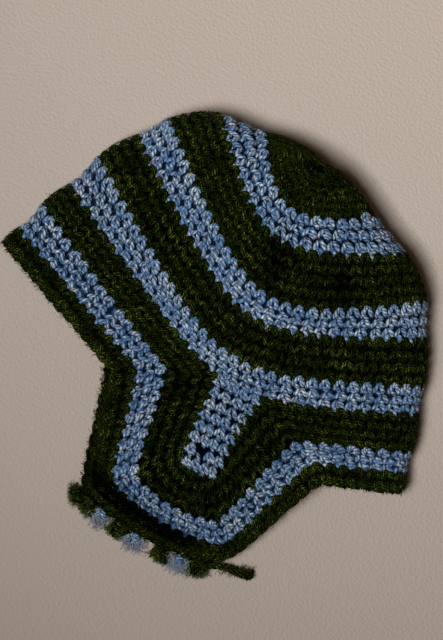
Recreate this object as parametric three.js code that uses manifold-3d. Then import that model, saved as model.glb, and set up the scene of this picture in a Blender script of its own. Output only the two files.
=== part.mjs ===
// Crocheted ear-flap hat, worked in rounds from the crown down and laid on its side.
// Millimetres, +Z up. The lower half rests at Z = 0, the crown points to +Y and the mouth to -Y.
import * as THREE from 'three';
import { mergeVertices } from 'three/addons/utils/BufferGeometryUtils.js';
import Module from 'manifold-3d';

const wasm = await Module();
wasm.setup();

// Thickness of the crocheted wall, and the gap left along the seam between two yarn bands.
const WALL = 4.5;
const SEAM_GAP = 0.36;

// How widely an edge curve rounds its dip, and how far the corners of a flap's end draw back.
const VALLEY_RADIUS = 30;
const END_BOW = 8;

// Fineness of the solids: angles that round a fold, and columns of faces on one half of an edge.
const FOLD_ANGLES = [0, 25, 50, 72, 90].map(THREE.MathUtils.degToRad);
const PLAIN_COLUMNS = 26;
const SIDE_COLUMNS = 9;
const FLAP_COLUMNS = 22;
const TAB_STITCHES = 4;
const OUTLINE_STEPS = 700;

// Middle of the finished hat in plan, which becomes the origin.
const CENTRE = { x: 0.5, y: -4.29 };

// Edges between the bands, from the pole of the crown to the brim.
// left and right: where the edge crosses the two fold lines. dip: its lowest point on the upper half.
// run: how far the fold rolls. fold: height of the fold line. top: height at the middle.
// base: height of the underside at the middle. lean: how far the wall turns to face +Y, in degrees.
const EDGE_COLUMNS = [
  'name', 'leftX', 'leftY', 'rightX', 'rightY', 'dipX', 'dipY', 'run', 'fold', 'top', 'base', 'lean',
];
const EDGES = namedRows(EDGE_COLUMNS, [
  ['pole', 2, 108.9, 2, 108.9, 2, 108.9, 30, 17, 17, 17, 90],
  ['crown2', -8, 109.3, 12, 107.9, 2, 103, 30, 17.5, 26, 9, 68],
  ['crown4', -17, 109.2, 21.5, 105.5, 2, 95, 30, 18, 31.5, 4, 48],
  ['crown6', -25, 108.6, 31, 101.6, 1, 87, 30, 18, 35, 1.2, 28],
  ['edge1', -33, 107.2, 41.3, 97.2, 0, 78, 30, 18, 37, 0, 14],
  ['edge2', -58, 103.6, 63.8, 89, 3, 61.5, 26, 16.5, 38, 0, 4],
  ['edge3', -80, 88, 85, 73, 13, 33.5, 18, 13, 36, 0, 0],
  ['edge4', -90, 73, 95, 56, 12, 20.5, 14, 11, 33, 0, 0],
  ['edge5', -102, 53, 106, 34, 14, -2.5, 11, 9.5, 29, 0, 0],
  ['edge6', -108, 33, 111, 20, 19, -15, 9.5, 9, 26, 0, 0],
  ['edge7', -115, 17, 118, 1, 22, -33, 9, 8.5, 23, 0, 0],
  ['edge8', -119.5, 0, 121, -10, 22, -43, 8.5, 8.5, 21, 0, 0],
  ['edge9', -123, -10, 124, -19, 22, -54, 8.5, 8.5, 20, 0, 0],
]);

// Tongues that the ear flaps add to the lower edges: the blue tab first, then each edge round it.
// half: half width at mid length. flank: how far the sides slope. tip: Y of the end.
const TONGUE_COLUMNS = ['edge', 'half', 'flank', 'upperX', 'upperTip', 'tipTop', 'lowerX', 'lowerTip'];
const TONGUES = namedRows(TONGUE_COLUMNS, [
  ['edge6', 10.5, 7, 22, -63, 18, 18, -66],
  ['edge7', 32, 17, 23, -86, 15, 18, -90],
  ['edge8', 43, 23, 23, -96, 13, 17, -99],
  ['edge9', 50, 28, 22, -102.5, 9.2, 17, -107.5],
]);

// Shallow hollows that the hat has sunk into on its upper side.
const DENTS = namedRows(['x', 'y', 'radius', 'depth'], [
  [9, 51, 12, 5],
  [41, 53, 11, 4],
]);

// Tufts along the end of the lower flap, each a knot with three cut locks fused to it.
// x: place along the flap's end. heading: where the locks point, in degrees from +X.
// seat: how far the knot's round side stands off the flap's end, where the wall thins to its rim.
const TUFT = { knot: 2.7, flat: 0.9, lock: 6.4, thick: 1.6, spread: 25, level: 3, droop: 0.5, seat: -0.3 };
const TUFTS = namedRows(['x', 'heading', 'yarn'], [
  [-20, 214, 'green'],
  [-14, 236, 'green'],
  [-6, 252, 'blue'],
  [4, 262, 'green'],
  [15, 268, 'blue'],
  [30, 272, 'green'],
  [40, 280, 'blue'],
  [49.5, 292, 'green'],
]);

// The short end of the working yarn, lying by the flap's right corner.
const TAIL = { from: [56.6, -103.9], to: [76.5, -96.8], level: 2.9, radius: 2.3 };

const YARNS = {
  green: new THREE.MeshStandardMaterial({ color: 0x39431a, roughness: 0.95, metalness: 0 }),
  blue: new THREE.MeshStandardMaterial({ color: 0x6f93bd, roughness: 0.6, metalness: 0 }),
};

// Turns bare rows into objects whose fields carry the column names.
function namedRows(columns, rows) {
  return rows.map((row) => Object.fromEntries(columns.map((name, index) => [name, row[index]])));
}

function edgeNamed(name) {
  return EDGES.find((edge) => edge.name === name);
}

function tongueOf(name) {
  return TONGUES.find((tongue) => tongue.edge === name);
}

// Height of the edge curve in plan: a rounded valley through both folds and the dip.
function valleyY(edge, x) {
  const end = x < edge.dipX ? [edge.leftX, edge.leftY] : [edge.rightX, edge.rightY];
  const rise = (distance) => Math.hypot(distance, VALLEY_RADIUS) - VALLEY_RADIUS;
  const whole = rise(end[0] - edge.dipX);
  if (whole === 0) {
    return edge.dipY;
  }
  return edge.dipY + ((end[1] - edge.dipY) * rise(x - edge.dipX)) / whole;
}

// How far a point belongs to the tongue: 0 on the plain edge, 1 on the tongue's end.
function tongueShare(tongue, centre, x) {
  const inside = (tongue.half + tongue.flank / 2 - Math.abs(x - centre)) / tongue.flank;
  return THREE.MathUtils.smoothstep(inside, 0, 1);
}

// One edge on the upper or lower half, as closely spaced points from left fold to right fold.
function edgeOutline(edge, side, withTongue) {
  const tongue = withTongue ? tongueOf(edge.name) : undefined;
  const centre = tongue && (side === 'upper' ? tongue.upperX : tongue.lowerX);
  const tip = tongue && (side === 'upper' ? tongue.upperTip : tongue.lowerTip);
  const points = [];
  for (let step = 0; step <= OUTLINE_STEPS; step += 1) {
    const across = step / OUTLINE_STEPS;
    const x = THREE.MathUtils.lerp(edge.leftX, edge.rightX, across);
    const bulge = Math.sin(Math.PI * across);
    let y = valleyY(edge, x);
    let top = 2 * edge.fold + (edge.top - 2 * edge.fold) * bulge;
    let share = 0;
    if (tongue) {
      share = tongueShare(tongue, centre, x);
      const endY = tip + END_BOW * ((x - centre) / tongue.half) ** 2;
      y = THREE.MathUtils.lerp(y, endY, share);
      top = THREE.MathUtils.lerp(top, tongue.tipTop, share);
    }
    points.push({ x, y, top, share });
  }
  return measured(points);
}

// Adds the running length to each point of an outline.
function measured(points) {
  let length = 0;
  points.forEach((point, index) => {
    if (index > 0) {
      const before = points[index - 1];
      length += Math.hypot(point.x - before.x, point.y - before.y);
    }
    point.length = length;
  });
  return points;
}

function pointAt(outline, length) {
  let index = outline.findIndex((point) => point.length >= length - 1e-9);
  if (index < 1) {
    index = 1;
  }
  const before = outline[index - 1];
  const after = outline[index];
  const span = after.length - before.length;
  const part = span > 0 ? (length - before.length) / span : 0;
  return {
    x: THREE.MathUtils.lerp(before.x, after.x, part),
    y: THREE.MathUtils.lerp(before.y, after.y, part),
    top: THREE.MathUtils.lerp(before.top, after.top, part),
    heading: [(after.x - before.x) / (span || 1), (after.y - before.y) / (span || 1)],
  };
}

function dentDepth(x, y) {
  const depths = DENTS.map(
    (dent) => dent.depth * Math.exp(-((x - dent.x) ** 2 + (y - dent.y) ** 2) / dent.radius ** 2),
  );
  return depths.reduce((sum, depth) => sum + depth, 0);
}

// Running lengths of the columns of one edge: close together in the folds, even between them,
// with a fixed count on each side of the tongue where the edge has one.
function columnLengths(edge, outline, withTongue) {
  const whole = outline[outline.length - 1].length;
  const run = Math.min(edge.run, whole / 2);
  const rolled = FOLD_ANGLES.map((angle) => run * (1 - Math.cos(angle)));
  const stops = [run];
  const counts = [PLAIN_COLUMNS];
  if (withTongue) {
    const flap = outline.filter((point) => point.share > 0.002);
    stops.push(flap[0].length, flap[flap.length - 1].length);
    counts.splice(0, 1, SIDE_COLUMNS, FLAP_COLUMNS, SIDE_COLUMNS);
  }
  stops.push(whole - run);
  const lengths = rolled.slice(0, -1);
  counts.forEach((count, part) => {
    for (let step = 0; step < count; step += 1) {
      lengths.push(THREE.MathUtils.lerp(stops[part], stops[part + 1], step / count));
    }
  });
  rolled.reverse().forEach((length) => lengths.push(whole - length));
  return { lengths, run, whole };
}

// Outer and inner wall points of one edge on one half, from left fold to right fold.
function edgeWall(edge, side, withTongue) {
  const outline = edgeOutline(edge, side, withTongue);
  const { lengths, run, whole } = columnLengths(edge, outline, withTongue);
  const lean = THREE.MathUtils.degToRad(edge.lean);
  const inward = side === 'upper' ? -1 : 1;
  return lengths.map((length) => {
    const point = pointAt(outline, length);
    const fromFold = Math.min(length, whole - length);
    const roll = run > 0 ? Math.min(1, Math.max(0, 1 - fromFold / run)) : 1;
    const rise = Math.sqrt(1 - roll * roll);
    const level = side === 'upper' ? point.top - dentDepth(point.x, point.y) : edge.base;
    const toward = length < whole / 2 ? 1 : -1;
    const outer = new THREE.Vector3(point.x, point.y, edge.fold + (level - edge.fold) * rise);
    const along = whole > 0 ? new THREE.Vector3(point.heading[0], point.heading[1], 0) : new THREE.Vector3(0, -1, 0);
    const depth = along.multiplyScalar(whole > 0 ? toward * roll : roll);
    depth.add(new THREE.Vector3(0, -Math.sin(lean), inward * Math.cos(lean)).multiplyScalar(rise));
    return { outer, depth: depth.normalize(), heading: point.heading };
  });
}

// The whole edge round the hat: the upper half from left to right, then the lower half back.
function edgeLoop(edge, withTongue) {
  const upper = edgeWall(edge, 'upper', withTongue);
  const lower = edgeWall(edge, 'lower', withTongue);
  return [...upper, ...lower.reverse().slice(1, -1)];
}

// A crocheted wall through two or more rows of points, closed at its rims into one solid.
// slim: part of the wall's thickness that is left at each row. capped: the first row is a point.
// open: the rows don't run all the way round, so their ends are closed too.
function wallBetween(loops, slim, { capped = false, open = false } = {}) {
  const count = loops[0].length;
  const positions = [];
  const indices = [];
  const rows = loops.length;
  loops.forEach((loop, row) => {
    loop.forEach(({ outer, depth }) => {
      const trimmed = outer.clone().addScaledVector(depth, (WALL * (1 - slim[row])) / 2);
      positions.push(...trimmed);
    });
  });
  loops.forEach((loop, row) => {
    loop.forEach(({ outer, depth }) => {
      const inner = outer.clone().addScaledVector(depth, (WALL * (1 + slim[row])) / 2);
      positions.push(...inner);
    });
  });
  const outerAt = (row, column) => row * count + (column % count);
  const innerAt = (row, column) => (rows + row) * count + (column % count);
  const quad = (a, b, c, d) => indices.push(a, b, c, a, c, d);
  const spans = open ? count - 1 : count;
  for (let column = 0; column < spans; column += 1) {
    for (let row = 0; row + 1 < rows; row += 1) {
      quad(outerAt(row, column), outerAt(row + 1, column), outerAt(row + 1, column + 1), outerAt(row, column + 1));
      quad(innerAt(row, column), innerAt(row, column + 1), innerAt(row + 1, column + 1), innerAt(row + 1, column));
    }
    const last = rows - 1;
    quad(outerAt(last, column), innerAt(last, column), innerAt(last, column + 1), outerAt(last, column + 1));
    if (!capped) {
      quad(outerAt(0, column), outerAt(0, column + 1), innerAt(0, column + 1), innerAt(0, column));
    }
  }
  for (let row = 0; open && row + 1 < rows; row += 1) {
    quad(outerAt(row, 0), innerAt(row, 0), innerAt(row + 1, 0), outerAt(row + 1, 0));
    quad(outerAt(row, spans), outerAt(row + 1, spans), innerAt(row + 1, spans), innerAt(row, spans));
  }
  return closedGeometry(positions, indices);
}

// Welds equal points and drops the triangles that collapse, as at the pole.
function closedGeometry(positions, indices) {
  const raw = new THREE.BufferGeometry();
  raw.setAttribute('position', new THREE.Float32BufferAttribute(positions, 3));
  raw.setIndex(indices);
  const welded = mergeVertices(raw, 1e-4);
  const kept = [];
  const index = welded.index.array;
  for (let corner = 0; corner < index.length; corner += 3) {
    const [a, b, c] = [index[corner], index[corner + 1], index[corner + 2]];
    if (a !== b && b !== c && c !== a) {
      kept.push(a, b, c);
    }
  }
  welded.setIndex(kept);
  welded.computeVertexNormals();
  return welded;
}

// A loop part of the way from one edge loop to the next, moved in from the seam by half the gap.
function loopBetween(from, to, part) {
  return from.map((start, column) => {
    const end = to[column];
    const width = Math.max(start.outer.distanceTo(end.outer), 1);
    const trim = SEAM_GAP / 2 / width;
    const place = THREE.MathUtils.clamp(part, trim, 1 - trim);
    const outer = start.outer.clone().lerp(end.outer, place);
    const depth = start.depth.clone().lerp(end.depth, place).normalize();
    return { outer, depth };
  });
}

// One yarn band between two edges. The dents are cut again at each step between them.
function bandGeometry(fromName, toName, steps, tongues, rim) {
  const from = edgeLoop(edgeNamed(fromName), tongues);
  const to = edgeLoop(edgeNamed(toName), tongues);
  const parts = [];
  for (let step = 0; step <= steps; step += 1) {
    parts.push(step / steps);
  }
  const loops = parts.map((part) => loopBetween(from, to, part));
  const slim = parts.map(() => 1);
  if (rim) {
    slim[slim.length - 1] = rim;
  }
  return wallBetween(loops, slim);
}

// The disc of green rounds that closes the top, from the pole to the first blue round.
function crownGeometry() {
  const names = ['pole', 'crown2', 'crown4', 'crown6', 'edge1'];
  const loops = names.map((name) => edgeLoop(edgeNamed(name), false));
  loops[loops.length - 1] = loopBetween(loops[loops.length - 2], loops[loops.length - 1], 1);
  return wallBetween(loops, loops.map(() => 1), { capped: true });
}

// The blue tongue that starts an ear flap: rungs across it, from the third blue band to its tip.
function tabGeometry(side) {
  const edge = edgeNamed('edge6');
  const root = FOLD_ANGLES.length - 1 + SIDE_COLUMNS;
  const wall = edgeWall(edge, side, true).slice(root, root + FLAP_COLUMNS + 1);
  const rungs = [];
  for (let rung = 0; rung < FLAP_COLUMNS / 2; rung += 1) {
    const left = insetPoint(wall[rung]);
    const right = insetPoint(wall[FLAP_COLUMNS - rung]);
    const row = [];
    for (let stitch = 0; stitch <= TAB_STITCHES; stitch += 1) {
      const outer = left.outer.clone().lerp(right.outer, stitch / TAB_STITCHES);
      if (rung === 0) {
        outer.y = valleyY(edge, outer.x) - SEAM_GAP;
      }
      row.push({ outer, depth: left.depth });
    }
    rungs.push(side === 'upper' ? row : row.reverse());
  }
  return wallBetween(rungs, rungs.map(() => 1), { open: true });
}

// A point of the tab's outline, moved into the tab by half the seam's gap.
function insetPoint({ outer, depth, heading }) {
  const inward = new THREE.Vector3(-heading[1], heading[0], 0);
  return { outer: outer.clone().addScaledVector(inward, SEAM_GAP / 2), depth };
}

function toSolid(geometry) {
  const bare = geometry.clone();
  bare.deleteAttribute('normal');
  bare.deleteAttribute('uv');
  const welded = mergeVertices(bare, 1e-4);
  const mesh = new wasm.Mesh({
    numProp: 3,
    vertProperties: new Float32Array(welded.attributes.position.array),
    triVerts: new Uint32Array(welded.index.array),
  });
  return new wasm.Manifold(mesh);
}

function fromSolid(solid) {
  const mesh = solid.getMesh();
  const geometry = new THREE.BufferGeometry();
  geometry.setAttribute('position', new THREE.Float32BufferAttribute(mesh.vertProperties, 3));
  geometry.setIndex([...mesh.triVerts]);
  geometry.computeVertexNormals();
  return geometry;
}

// A round-ended strand from one point to another.
function strandGeometry(from, to, radius) {
  const along = to.clone().sub(from);
  const strand = new THREE.CapsuleGeometry(radius, along.length(), 2, 7);
  const turn = new THREE.Quaternion().setFromUnitVectors(new THREE.Vector3(0, 1, 0), along.clone().normalize());
  strand.applyQuaternion(turn);
  strand.translate(...from.clone().addScaledVector(along, 0.5));
  return strand;
}

// One tuft: a flattened knot against the flap's end with three locks fanning from it.
function tuftGeometry(tuft) {
  const outline = edgeOutline(edgeNamed('edge9'), 'lower', true);
  const edgePoint = pointAt(outline, outline.find((point) => point.x >= tuft.x).length);
  const reach = TUFT.knot + TUFT.seat;
  const knot = new THREE.Vector3(
    edgePoint.x + edgePoint.heading[1] * reach,
    edgePoint.y - edgePoint.heading[0] * reach,
    TUFT.level,
  );
  const ball = new THREE.SphereGeometry(TUFT.knot, 8, 5).scale(1, 1, TUFT.flat);
  let solid = toSolid(ball.translate(...knot));
  [-TUFT.spread, 0, TUFT.spread].forEach((turn) => {
    const heading = THREE.MathUtils.degToRad(tuft.heading + turn);
    const end = new THREE.Vector3(Math.cos(heading), Math.sin(heading), 0).multiplyScalar(TUFT.lock);
    end.add(knot).setZ(TUFT.level - TUFT.droop);
    solid = solid.add(toSolid(strandGeometry(knot, end, TUFT.thick)));
  });
  return fromSolid(solid);
}

function tailGeometry() {
  const from = new THREE.Vector3(...TAIL.from, TAIL.level);
  const to = new THREE.Vector3(...TAIL.to, TAIL.level);
  return strandGeometry(from, to, TAIL.radius);
}

const hat = new THREE.Group();

function addPiece(name, geometry, yarn) {
  geometry.translate(-CENTRE.x, -CENTRE.y, 0);
  const mesh = new THREE.Mesh(geometry, YARNS[yarn]);
  mesh.name = name;
  hat.add(mesh);
}

addPiece('crown_top', crownGeometry(), 'green');
addPiece('blue_band_1', bandGeometry('edge1', 'edge2', 2, false), 'blue');
addPiece('green_band_1', bandGeometry('edge2', 'edge3', 3, false), 'green');
addPiece('blue_band_2', bandGeometry('edge3', 'edge4', 2, false), 'blue');
addPiece('green_band_2', bandGeometry('edge4', 'edge5', 2, false), 'green');
addPiece('blue_band_3', bandGeometry('edge5', 'edge6', 2, false), 'blue');
addPiece('green_band_3', bandGeometry('edge6', 'edge7', 2, true), 'green');
addPiece('blue_band_4', bandGeometry('edge7', 'edge8', 2, true), 'blue');
addPiece('brim_border', bandGeometry('edge8', 'edge9', 3, true, 0.6), 'green');
addPiece('ear_tab_upper', tabGeometry('upper'), 'blue');
addPiece('ear_tab_lower', tabGeometry('lower'), 'blue');
TUFTS.forEach((tuft, index) => addPiece(`tuft_${index + 1}`, tuftGeometry(tuft), tuft.yarn));
addPiece('yarn_tail', tailGeometry(), 'green');

export default hat;
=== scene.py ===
"""Crochets the ear-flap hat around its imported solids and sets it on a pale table."""

import logging
import math
from dataclasses import dataclass, field
from enum import Enum, IntEnum

import bpy
import numpy as np
from mathutils import Matrix, Vector

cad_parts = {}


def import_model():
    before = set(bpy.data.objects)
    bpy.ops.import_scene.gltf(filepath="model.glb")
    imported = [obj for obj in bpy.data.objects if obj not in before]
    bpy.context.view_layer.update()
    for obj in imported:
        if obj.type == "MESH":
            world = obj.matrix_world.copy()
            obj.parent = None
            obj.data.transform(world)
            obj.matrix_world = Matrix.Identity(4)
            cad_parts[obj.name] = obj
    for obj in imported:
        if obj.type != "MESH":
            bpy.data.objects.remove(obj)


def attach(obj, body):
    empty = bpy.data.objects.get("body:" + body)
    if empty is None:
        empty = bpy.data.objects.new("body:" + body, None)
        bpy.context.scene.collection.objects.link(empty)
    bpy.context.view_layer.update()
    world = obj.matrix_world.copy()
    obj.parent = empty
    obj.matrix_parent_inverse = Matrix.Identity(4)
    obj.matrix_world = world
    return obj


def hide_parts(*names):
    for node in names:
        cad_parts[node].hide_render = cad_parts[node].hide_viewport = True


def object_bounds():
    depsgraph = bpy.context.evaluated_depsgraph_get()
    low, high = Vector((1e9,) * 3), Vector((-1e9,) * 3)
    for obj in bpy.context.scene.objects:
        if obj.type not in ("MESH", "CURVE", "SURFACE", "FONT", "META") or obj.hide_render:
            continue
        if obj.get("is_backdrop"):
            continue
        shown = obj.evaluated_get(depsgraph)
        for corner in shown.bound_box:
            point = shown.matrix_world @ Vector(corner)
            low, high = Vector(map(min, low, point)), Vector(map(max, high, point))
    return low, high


LOG = logging.getLogger("chullo")
MM = 0.001
TINY = 1e-9
SHORTEST = 1e-6
ROUND_HEIGHT = 5.7
TABLE_CLEARANCE = 0.05
UP = np.array([0.0, 0.0, 1.0])
VIEW_TURN = math.radians(30)
SEED = 7
PHOTO_HEIGHT = 640


class Yarn(Enum):
    """The two yarns of the hat, by the record's slot names."""

    GREEN = "green_yarn"
    BLUE = "blue_yarn"


class Side(Enum):
    """The two halves of the hat as it lies."""

    UPPER = -1
    LOWER = 1


class Slot(IntEnum):
    """The materials of a piece, by their numbers in its mesh."""

    STRANDS = 0
    BACKING = 1
    FIBRES = 2


def running_length(points: np.ndarray) -> np.ndarray:
    """Length along a line of points, from 0 at its first point."""
    steps = np.linalg.norm(np.diff(points, axis=0), axis=1)
    return np.concatenate([[0], np.cumsum(steps)])


def along_line(run: np.ndarray, marks: np.ndarray, points: np.ndarray) -> np.ndarray:
    """Places on a line of points at running lengths, where marks are the points' own lengths."""
    return np.stack([np.interp(run, marks, column) for column in points.T], -1)


def unit(vectors: np.ndarray) -> np.ndarray:
    """The same directions at length 1."""
    return vectors / (np.linalg.norm(vectors, axis=-1, keepdims=True) + TINY)


@dataclass(frozen=True)
class Edge:
    """An edge between two yarn bands, in millimetres.

    It runs from the left fold line through its lowest point to the right fold line. run is how
    far the fold rolls, fold, top and base are heights, and lean turns the wall to face +Y.
    """

    left: tuple[float, float]
    right: tuple[float, float]
    dip: tuple[float, float]
    run: float
    fold: float
    top: float
    base: float = 0.0
    lean: float = 0.0


@dataclass(frozen=True)
class Tongue:
    """The tongue that an ear flap adds to an edge, in millimetres.

    half is its half width at mid length and flank how far its sides slope. upper and lower are
    the middles of its end on the two halves, and tip_top is the upper end's height.
    """

    half: float
    flank: float
    upper: tuple[float, float]
    tip_top: float
    lower: tuple[float, float]

    def end(self, side: Side) -> tuple[float, float]:
        """The middle of the tongue's end on one half."""
        return self.upper if side is Side.UPPER else self.lower


@dataclass(frozen=True)
class Dent:
    """A hollow that the upper side has sunk into, in millimetres."""

    x: float
    y: float
    radius: float
    depth: float


@dataclass(frozen=True)
class Crease:
    """The bottom of a dent, which little light reaches, in millimetres."""

    x: float
    y: float
    radius: float


EDGES = {
    "pole": Edge((2, 108.9), (2, 108.9), (2, 108.9), 30, 17, 17, 17, 90),
    "crown2": Edge((-8, 109.3), (12, 107.9), (2, 103), 30, 17.5, 26, 9, 68),
    "crown4": Edge((-17, 109.2), (21.5, 105.5), (2, 95), 30, 18, 31.5, 4, 48),
    "crown6": Edge((-25, 108.6), (31, 101.6), (1, 87), 30, 18, 35, 1.2, 28),
    "edge1": Edge((-33, 107.2), (41.3, 97.2), (0, 78), 30, 18, 37, 0, 14),
    "edge2": Edge((-58, 103.6), (63.8, 89), (3, 61.5), 26, 16.5, 38, 0, 4),
    "edge3": Edge((-80, 88), (85, 73), (13, 33.5), 18, 13, 36),
    "edge4": Edge((-90, 73), (95, 56), (12, 20.5), 14, 11, 33),
    "edge5": Edge((-102, 53), (106, 34), (14, -2.5), 11, 9.5, 29),
    "edge6": Edge((-108, 33), (111, 20), (19, -15), 9.5, 9, 26),
    "edge7": Edge((-115, 17), (118, 1), (22, -33), 9, 8.5, 23),
    "edge8": Edge((-119.5, 0), (121, -10), (22, -43), 8.5, 8.5, 21),
    "edge9": Edge((-123, -10), (124, -19), (22, -54), 8.5, 8.5, 20),
}
TONGUES = {
    "edge6": Tongue(10.5, 7, (22, -63), 18, (18, -66)),
    "edge7": Tongue(32, 17, (23, -86), 15, (18, -90)),
    "edge8": Tongue(43, 23, (23, -96), 13, (17, -99)),
    "edge9": Tongue(50, 28, (22, -102.5), 9.2, (17, -107.5)),
}


@dataclass
class Outline:
    """Closely spaced points of one edge on one half, with their heights and running length."""

    x: np.ndarray
    y: np.ndarray
    top: np.ndarray
    length: np.ndarray


@dataclass
class Loop:
    """An edge all the way round the hat: places, depth directions, running length and anchors."""

    outer: np.ndarray
    depth: np.ndarray
    length: np.ndarray
    anchors: np.ndarray

    def at(self, part: np.ndarray) -> tuple[np.ndarray, np.ndarray]:
        """Places and depth directions at parts of the loop's length, from 0 to 1."""
        run = part * self.length[-1]
        return along_line(run, self.length, self.outer), along_line(run, self.length, self.depth)


@dataclass
class HatForm:
    """The hat's surface, from the same edges as its solids, in millimetres.

    crease_way and crease_shape are the direction of the creases and their width and length in
    parts of their radius, above upper_from. end_range and end_fade say where the flap's end lies
    across the hat, and flap_from and flap_fade how far down. The fold is the gap between the ends
    of the two flaps, darkened with painted shade, and the curl takes the upper flap's border in and
    down.
    """

    wall: float = 4.5
    valley_radius: float = 30.0
    end_bow: float = 8.0
    centre: tuple[float, float] = (0.5, -4.29)
    dents: tuple[Dent, ...] = (Dent(9, 51, 10, 7), Dent(41, 53, 9, 6))
    creases: tuple[Crease, ...] = (Crease(5.8, 51.4, 11), Crease(40, 57.8, 12))
    crease_way: tuple[float, float] = (0.94, 0.34)
    crease_shape: tuple[float, float] = (0.55, 1.1)
    upper_from: float = 18.0
    lost_light: float = 0.95
    steps: int = 1400
    roll_steps: int = 24
    middle_steps: int = 900
    end_range: tuple[float, float] = (-30.0, 50.0)
    end_fade: float = 12.0
    flap_from: float = -80.0
    flap_fade: float = 8.0
    fold_middle: tuple[float, float] = (22.0, -97.6)
    fold_half: float = 47.0
    fold_core: float = 1.3
    fold_reach: float = 5.4
    curl_in: float = 4.0
    curl_down: float = 2.5
    curl_limit: float = 1.3

    def valley(self, edge: Edge, x: np.ndarray) -> np.ndarray:
        """Y of an edge's rounded valley at places across the hat.

        Args:
            edge: the edge.
            x: places across the hat.

        Returns:
            The Y of the edge at each place.
        """
        end_x = np.where(x < edge.dip[0], edge.left[0], edge.right[0])
        end_y = np.where(x < edge.dip[0], edge.left[1], edge.right[1])
        rise = np.hypot(x - edge.dip[0], self.valley_radius) - self.valley_radius
        whole = np.hypot(end_x - edge.dip[0], self.valley_radius) - self.valley_radius
        return edge.dip[1] + (end_y - edge.dip[1]) * rise / np.maximum(whole, TINY)

    def plan(self, places: np.ndarray) -> tuple[np.ndarray, np.ndarray]:
        """X and Y of places in the hat's own origin, as the edges' sizes count them."""
        return places[..., 0] + self.centre[0], places[..., 1] + self.centre[1]

    def flap_end(self, x: np.ndarray) -> np.ndarray:
        """How much places belong to the end of the flap, where its upper edge curls under.

        Args:
            x: the places' X, as the edges' sizes count it.

        Returns:
            Shares, 0 to 1.
        """
        low = np.clip((x - self.end_range[0]) / self.end_fade, 0, 1)
        high = np.clip((self.end_range[1] - x) / self.end_fade, 0, 1)
        return np.minimum(low, high)

    def light_in_fold(self, places: np.ndarray) -> np.ndarray:
        """How much light reaches places near the dark fold between the two flaps' ends.

        Args:
            places: places in the hat's own origin, shaped any by 3.

        Returns:
            Parts of the light, 0 to 1.
        """
        x, y = self.plan(places)
        middle_x, middle_y = self.fold_middle
        middle = middle_y + self.end_bow * ((x - middle_x) / self.fold_half) ** 2
        near = np.clip(self.fold_core - np.abs(y - middle) / self.fold_reach, 0, 1)
        return 1 - self.lost_light * near * self.flap_end(x)

    def light_in_dents(self, places: np.ndarray) -> np.ndarray:
        """How much light reaches places in the creases at the bottom of the dents.

        Args:
            places: places in the hat's own origin, shaped any by 3.

        Returns:
            Parts of the light, 0 to 1.
        """
        x, y = self.plan(places)
        cosine, sine = self.crease_way
        width, height = self.crease_shape
        lost = np.zeros_like(x)
        for crease in self.creases:
            aside = ((x - crease.x) * cosine + (y - crease.y) * sine) / (width * crease.radius)
            along = ((y - crease.y) * cosine - (x - crease.x) * sine) / (height * crease.radius)
            lost += np.exp(-(aside**2) - along**2)
        return 1 - self.lost_light * np.clip(lost * (places[..., 2] > self.upper_from), 0, 1)

    def curled(self, place: np.ndarray, upper: np.ndarray, v: np.ndarray) -> np.ndarray:
        """Curls the upper flap's border down and under along the flap's end.

        Args:
            place: places on the border, in the hat's own origin.
            upper: whether each place is on the upper half.
            v: parts of the way down the border.

        Returns:
            The curled places.
        """
        x, y = self.plan(place)
        on_flap = np.clip((self.flap_from - y) / self.flap_fade, 0, 1)
        share = self.flap_end(x) * on_flap * upper * np.clip(v, 0, self.curl_limit)
        moved = place.copy()
        moved[..., 1] += self.curl_in * share
        moved[..., 2] -= self.curl_down * share * share
        return moved

    def dent_depth(self, x: np.ndarray, y: np.ndarray) -> np.ndarray:
        """How far the upper side has sunk at places on it.

        Args:
            x: the places' X.
            y: the places' Y.

        Returns:
            Depths in millimetres.
        """
        total = np.zeros_like(x)
        for dent in self.dents:
            total += dent.depth * np.exp(-((x - dent.x) ** 2 + (y - dent.y) ** 2) / dent.radius**2)
        return total

    def outline(self, edge: Edge, side: Side, tongue: Tongue | None) -> Outline:
        """Traces one edge on one half from left fold to right fold.

        Args:
            edge: the edge to trace.
            side: the half of the hat.
            tongue: the flap's tongue on this edge, if it has one.

        Returns:
            The traced outline.
        """
        across = np.linspace(0, 1, self.steps)
        x = edge.left[0] + (edge.right[0] - edge.left[0]) * across
        y = self.valley(edge, x)
        top = 2 * edge.fold + (edge.top - 2 * edge.fold) * np.sin(np.pi * across)
        if tongue:
            centre, tip = tongue.end(side)
            inside = (tongue.half + tongue.flank / 2 - np.abs(x - centre)) / tongue.flank
            inside = np.clip(inside, 0, 1)
            share = inside * inside * (3 - 2 * inside)
            end_y = tip + self.end_bow * ((x - centre) / tongue.half) ** 2
            y = y * (1 - share) + end_y * share
            top = top * (1 - share) + tongue.tip_top * share
        return Outline(x, y, top, running_length(np.stack([x, y], -1)))

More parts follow.
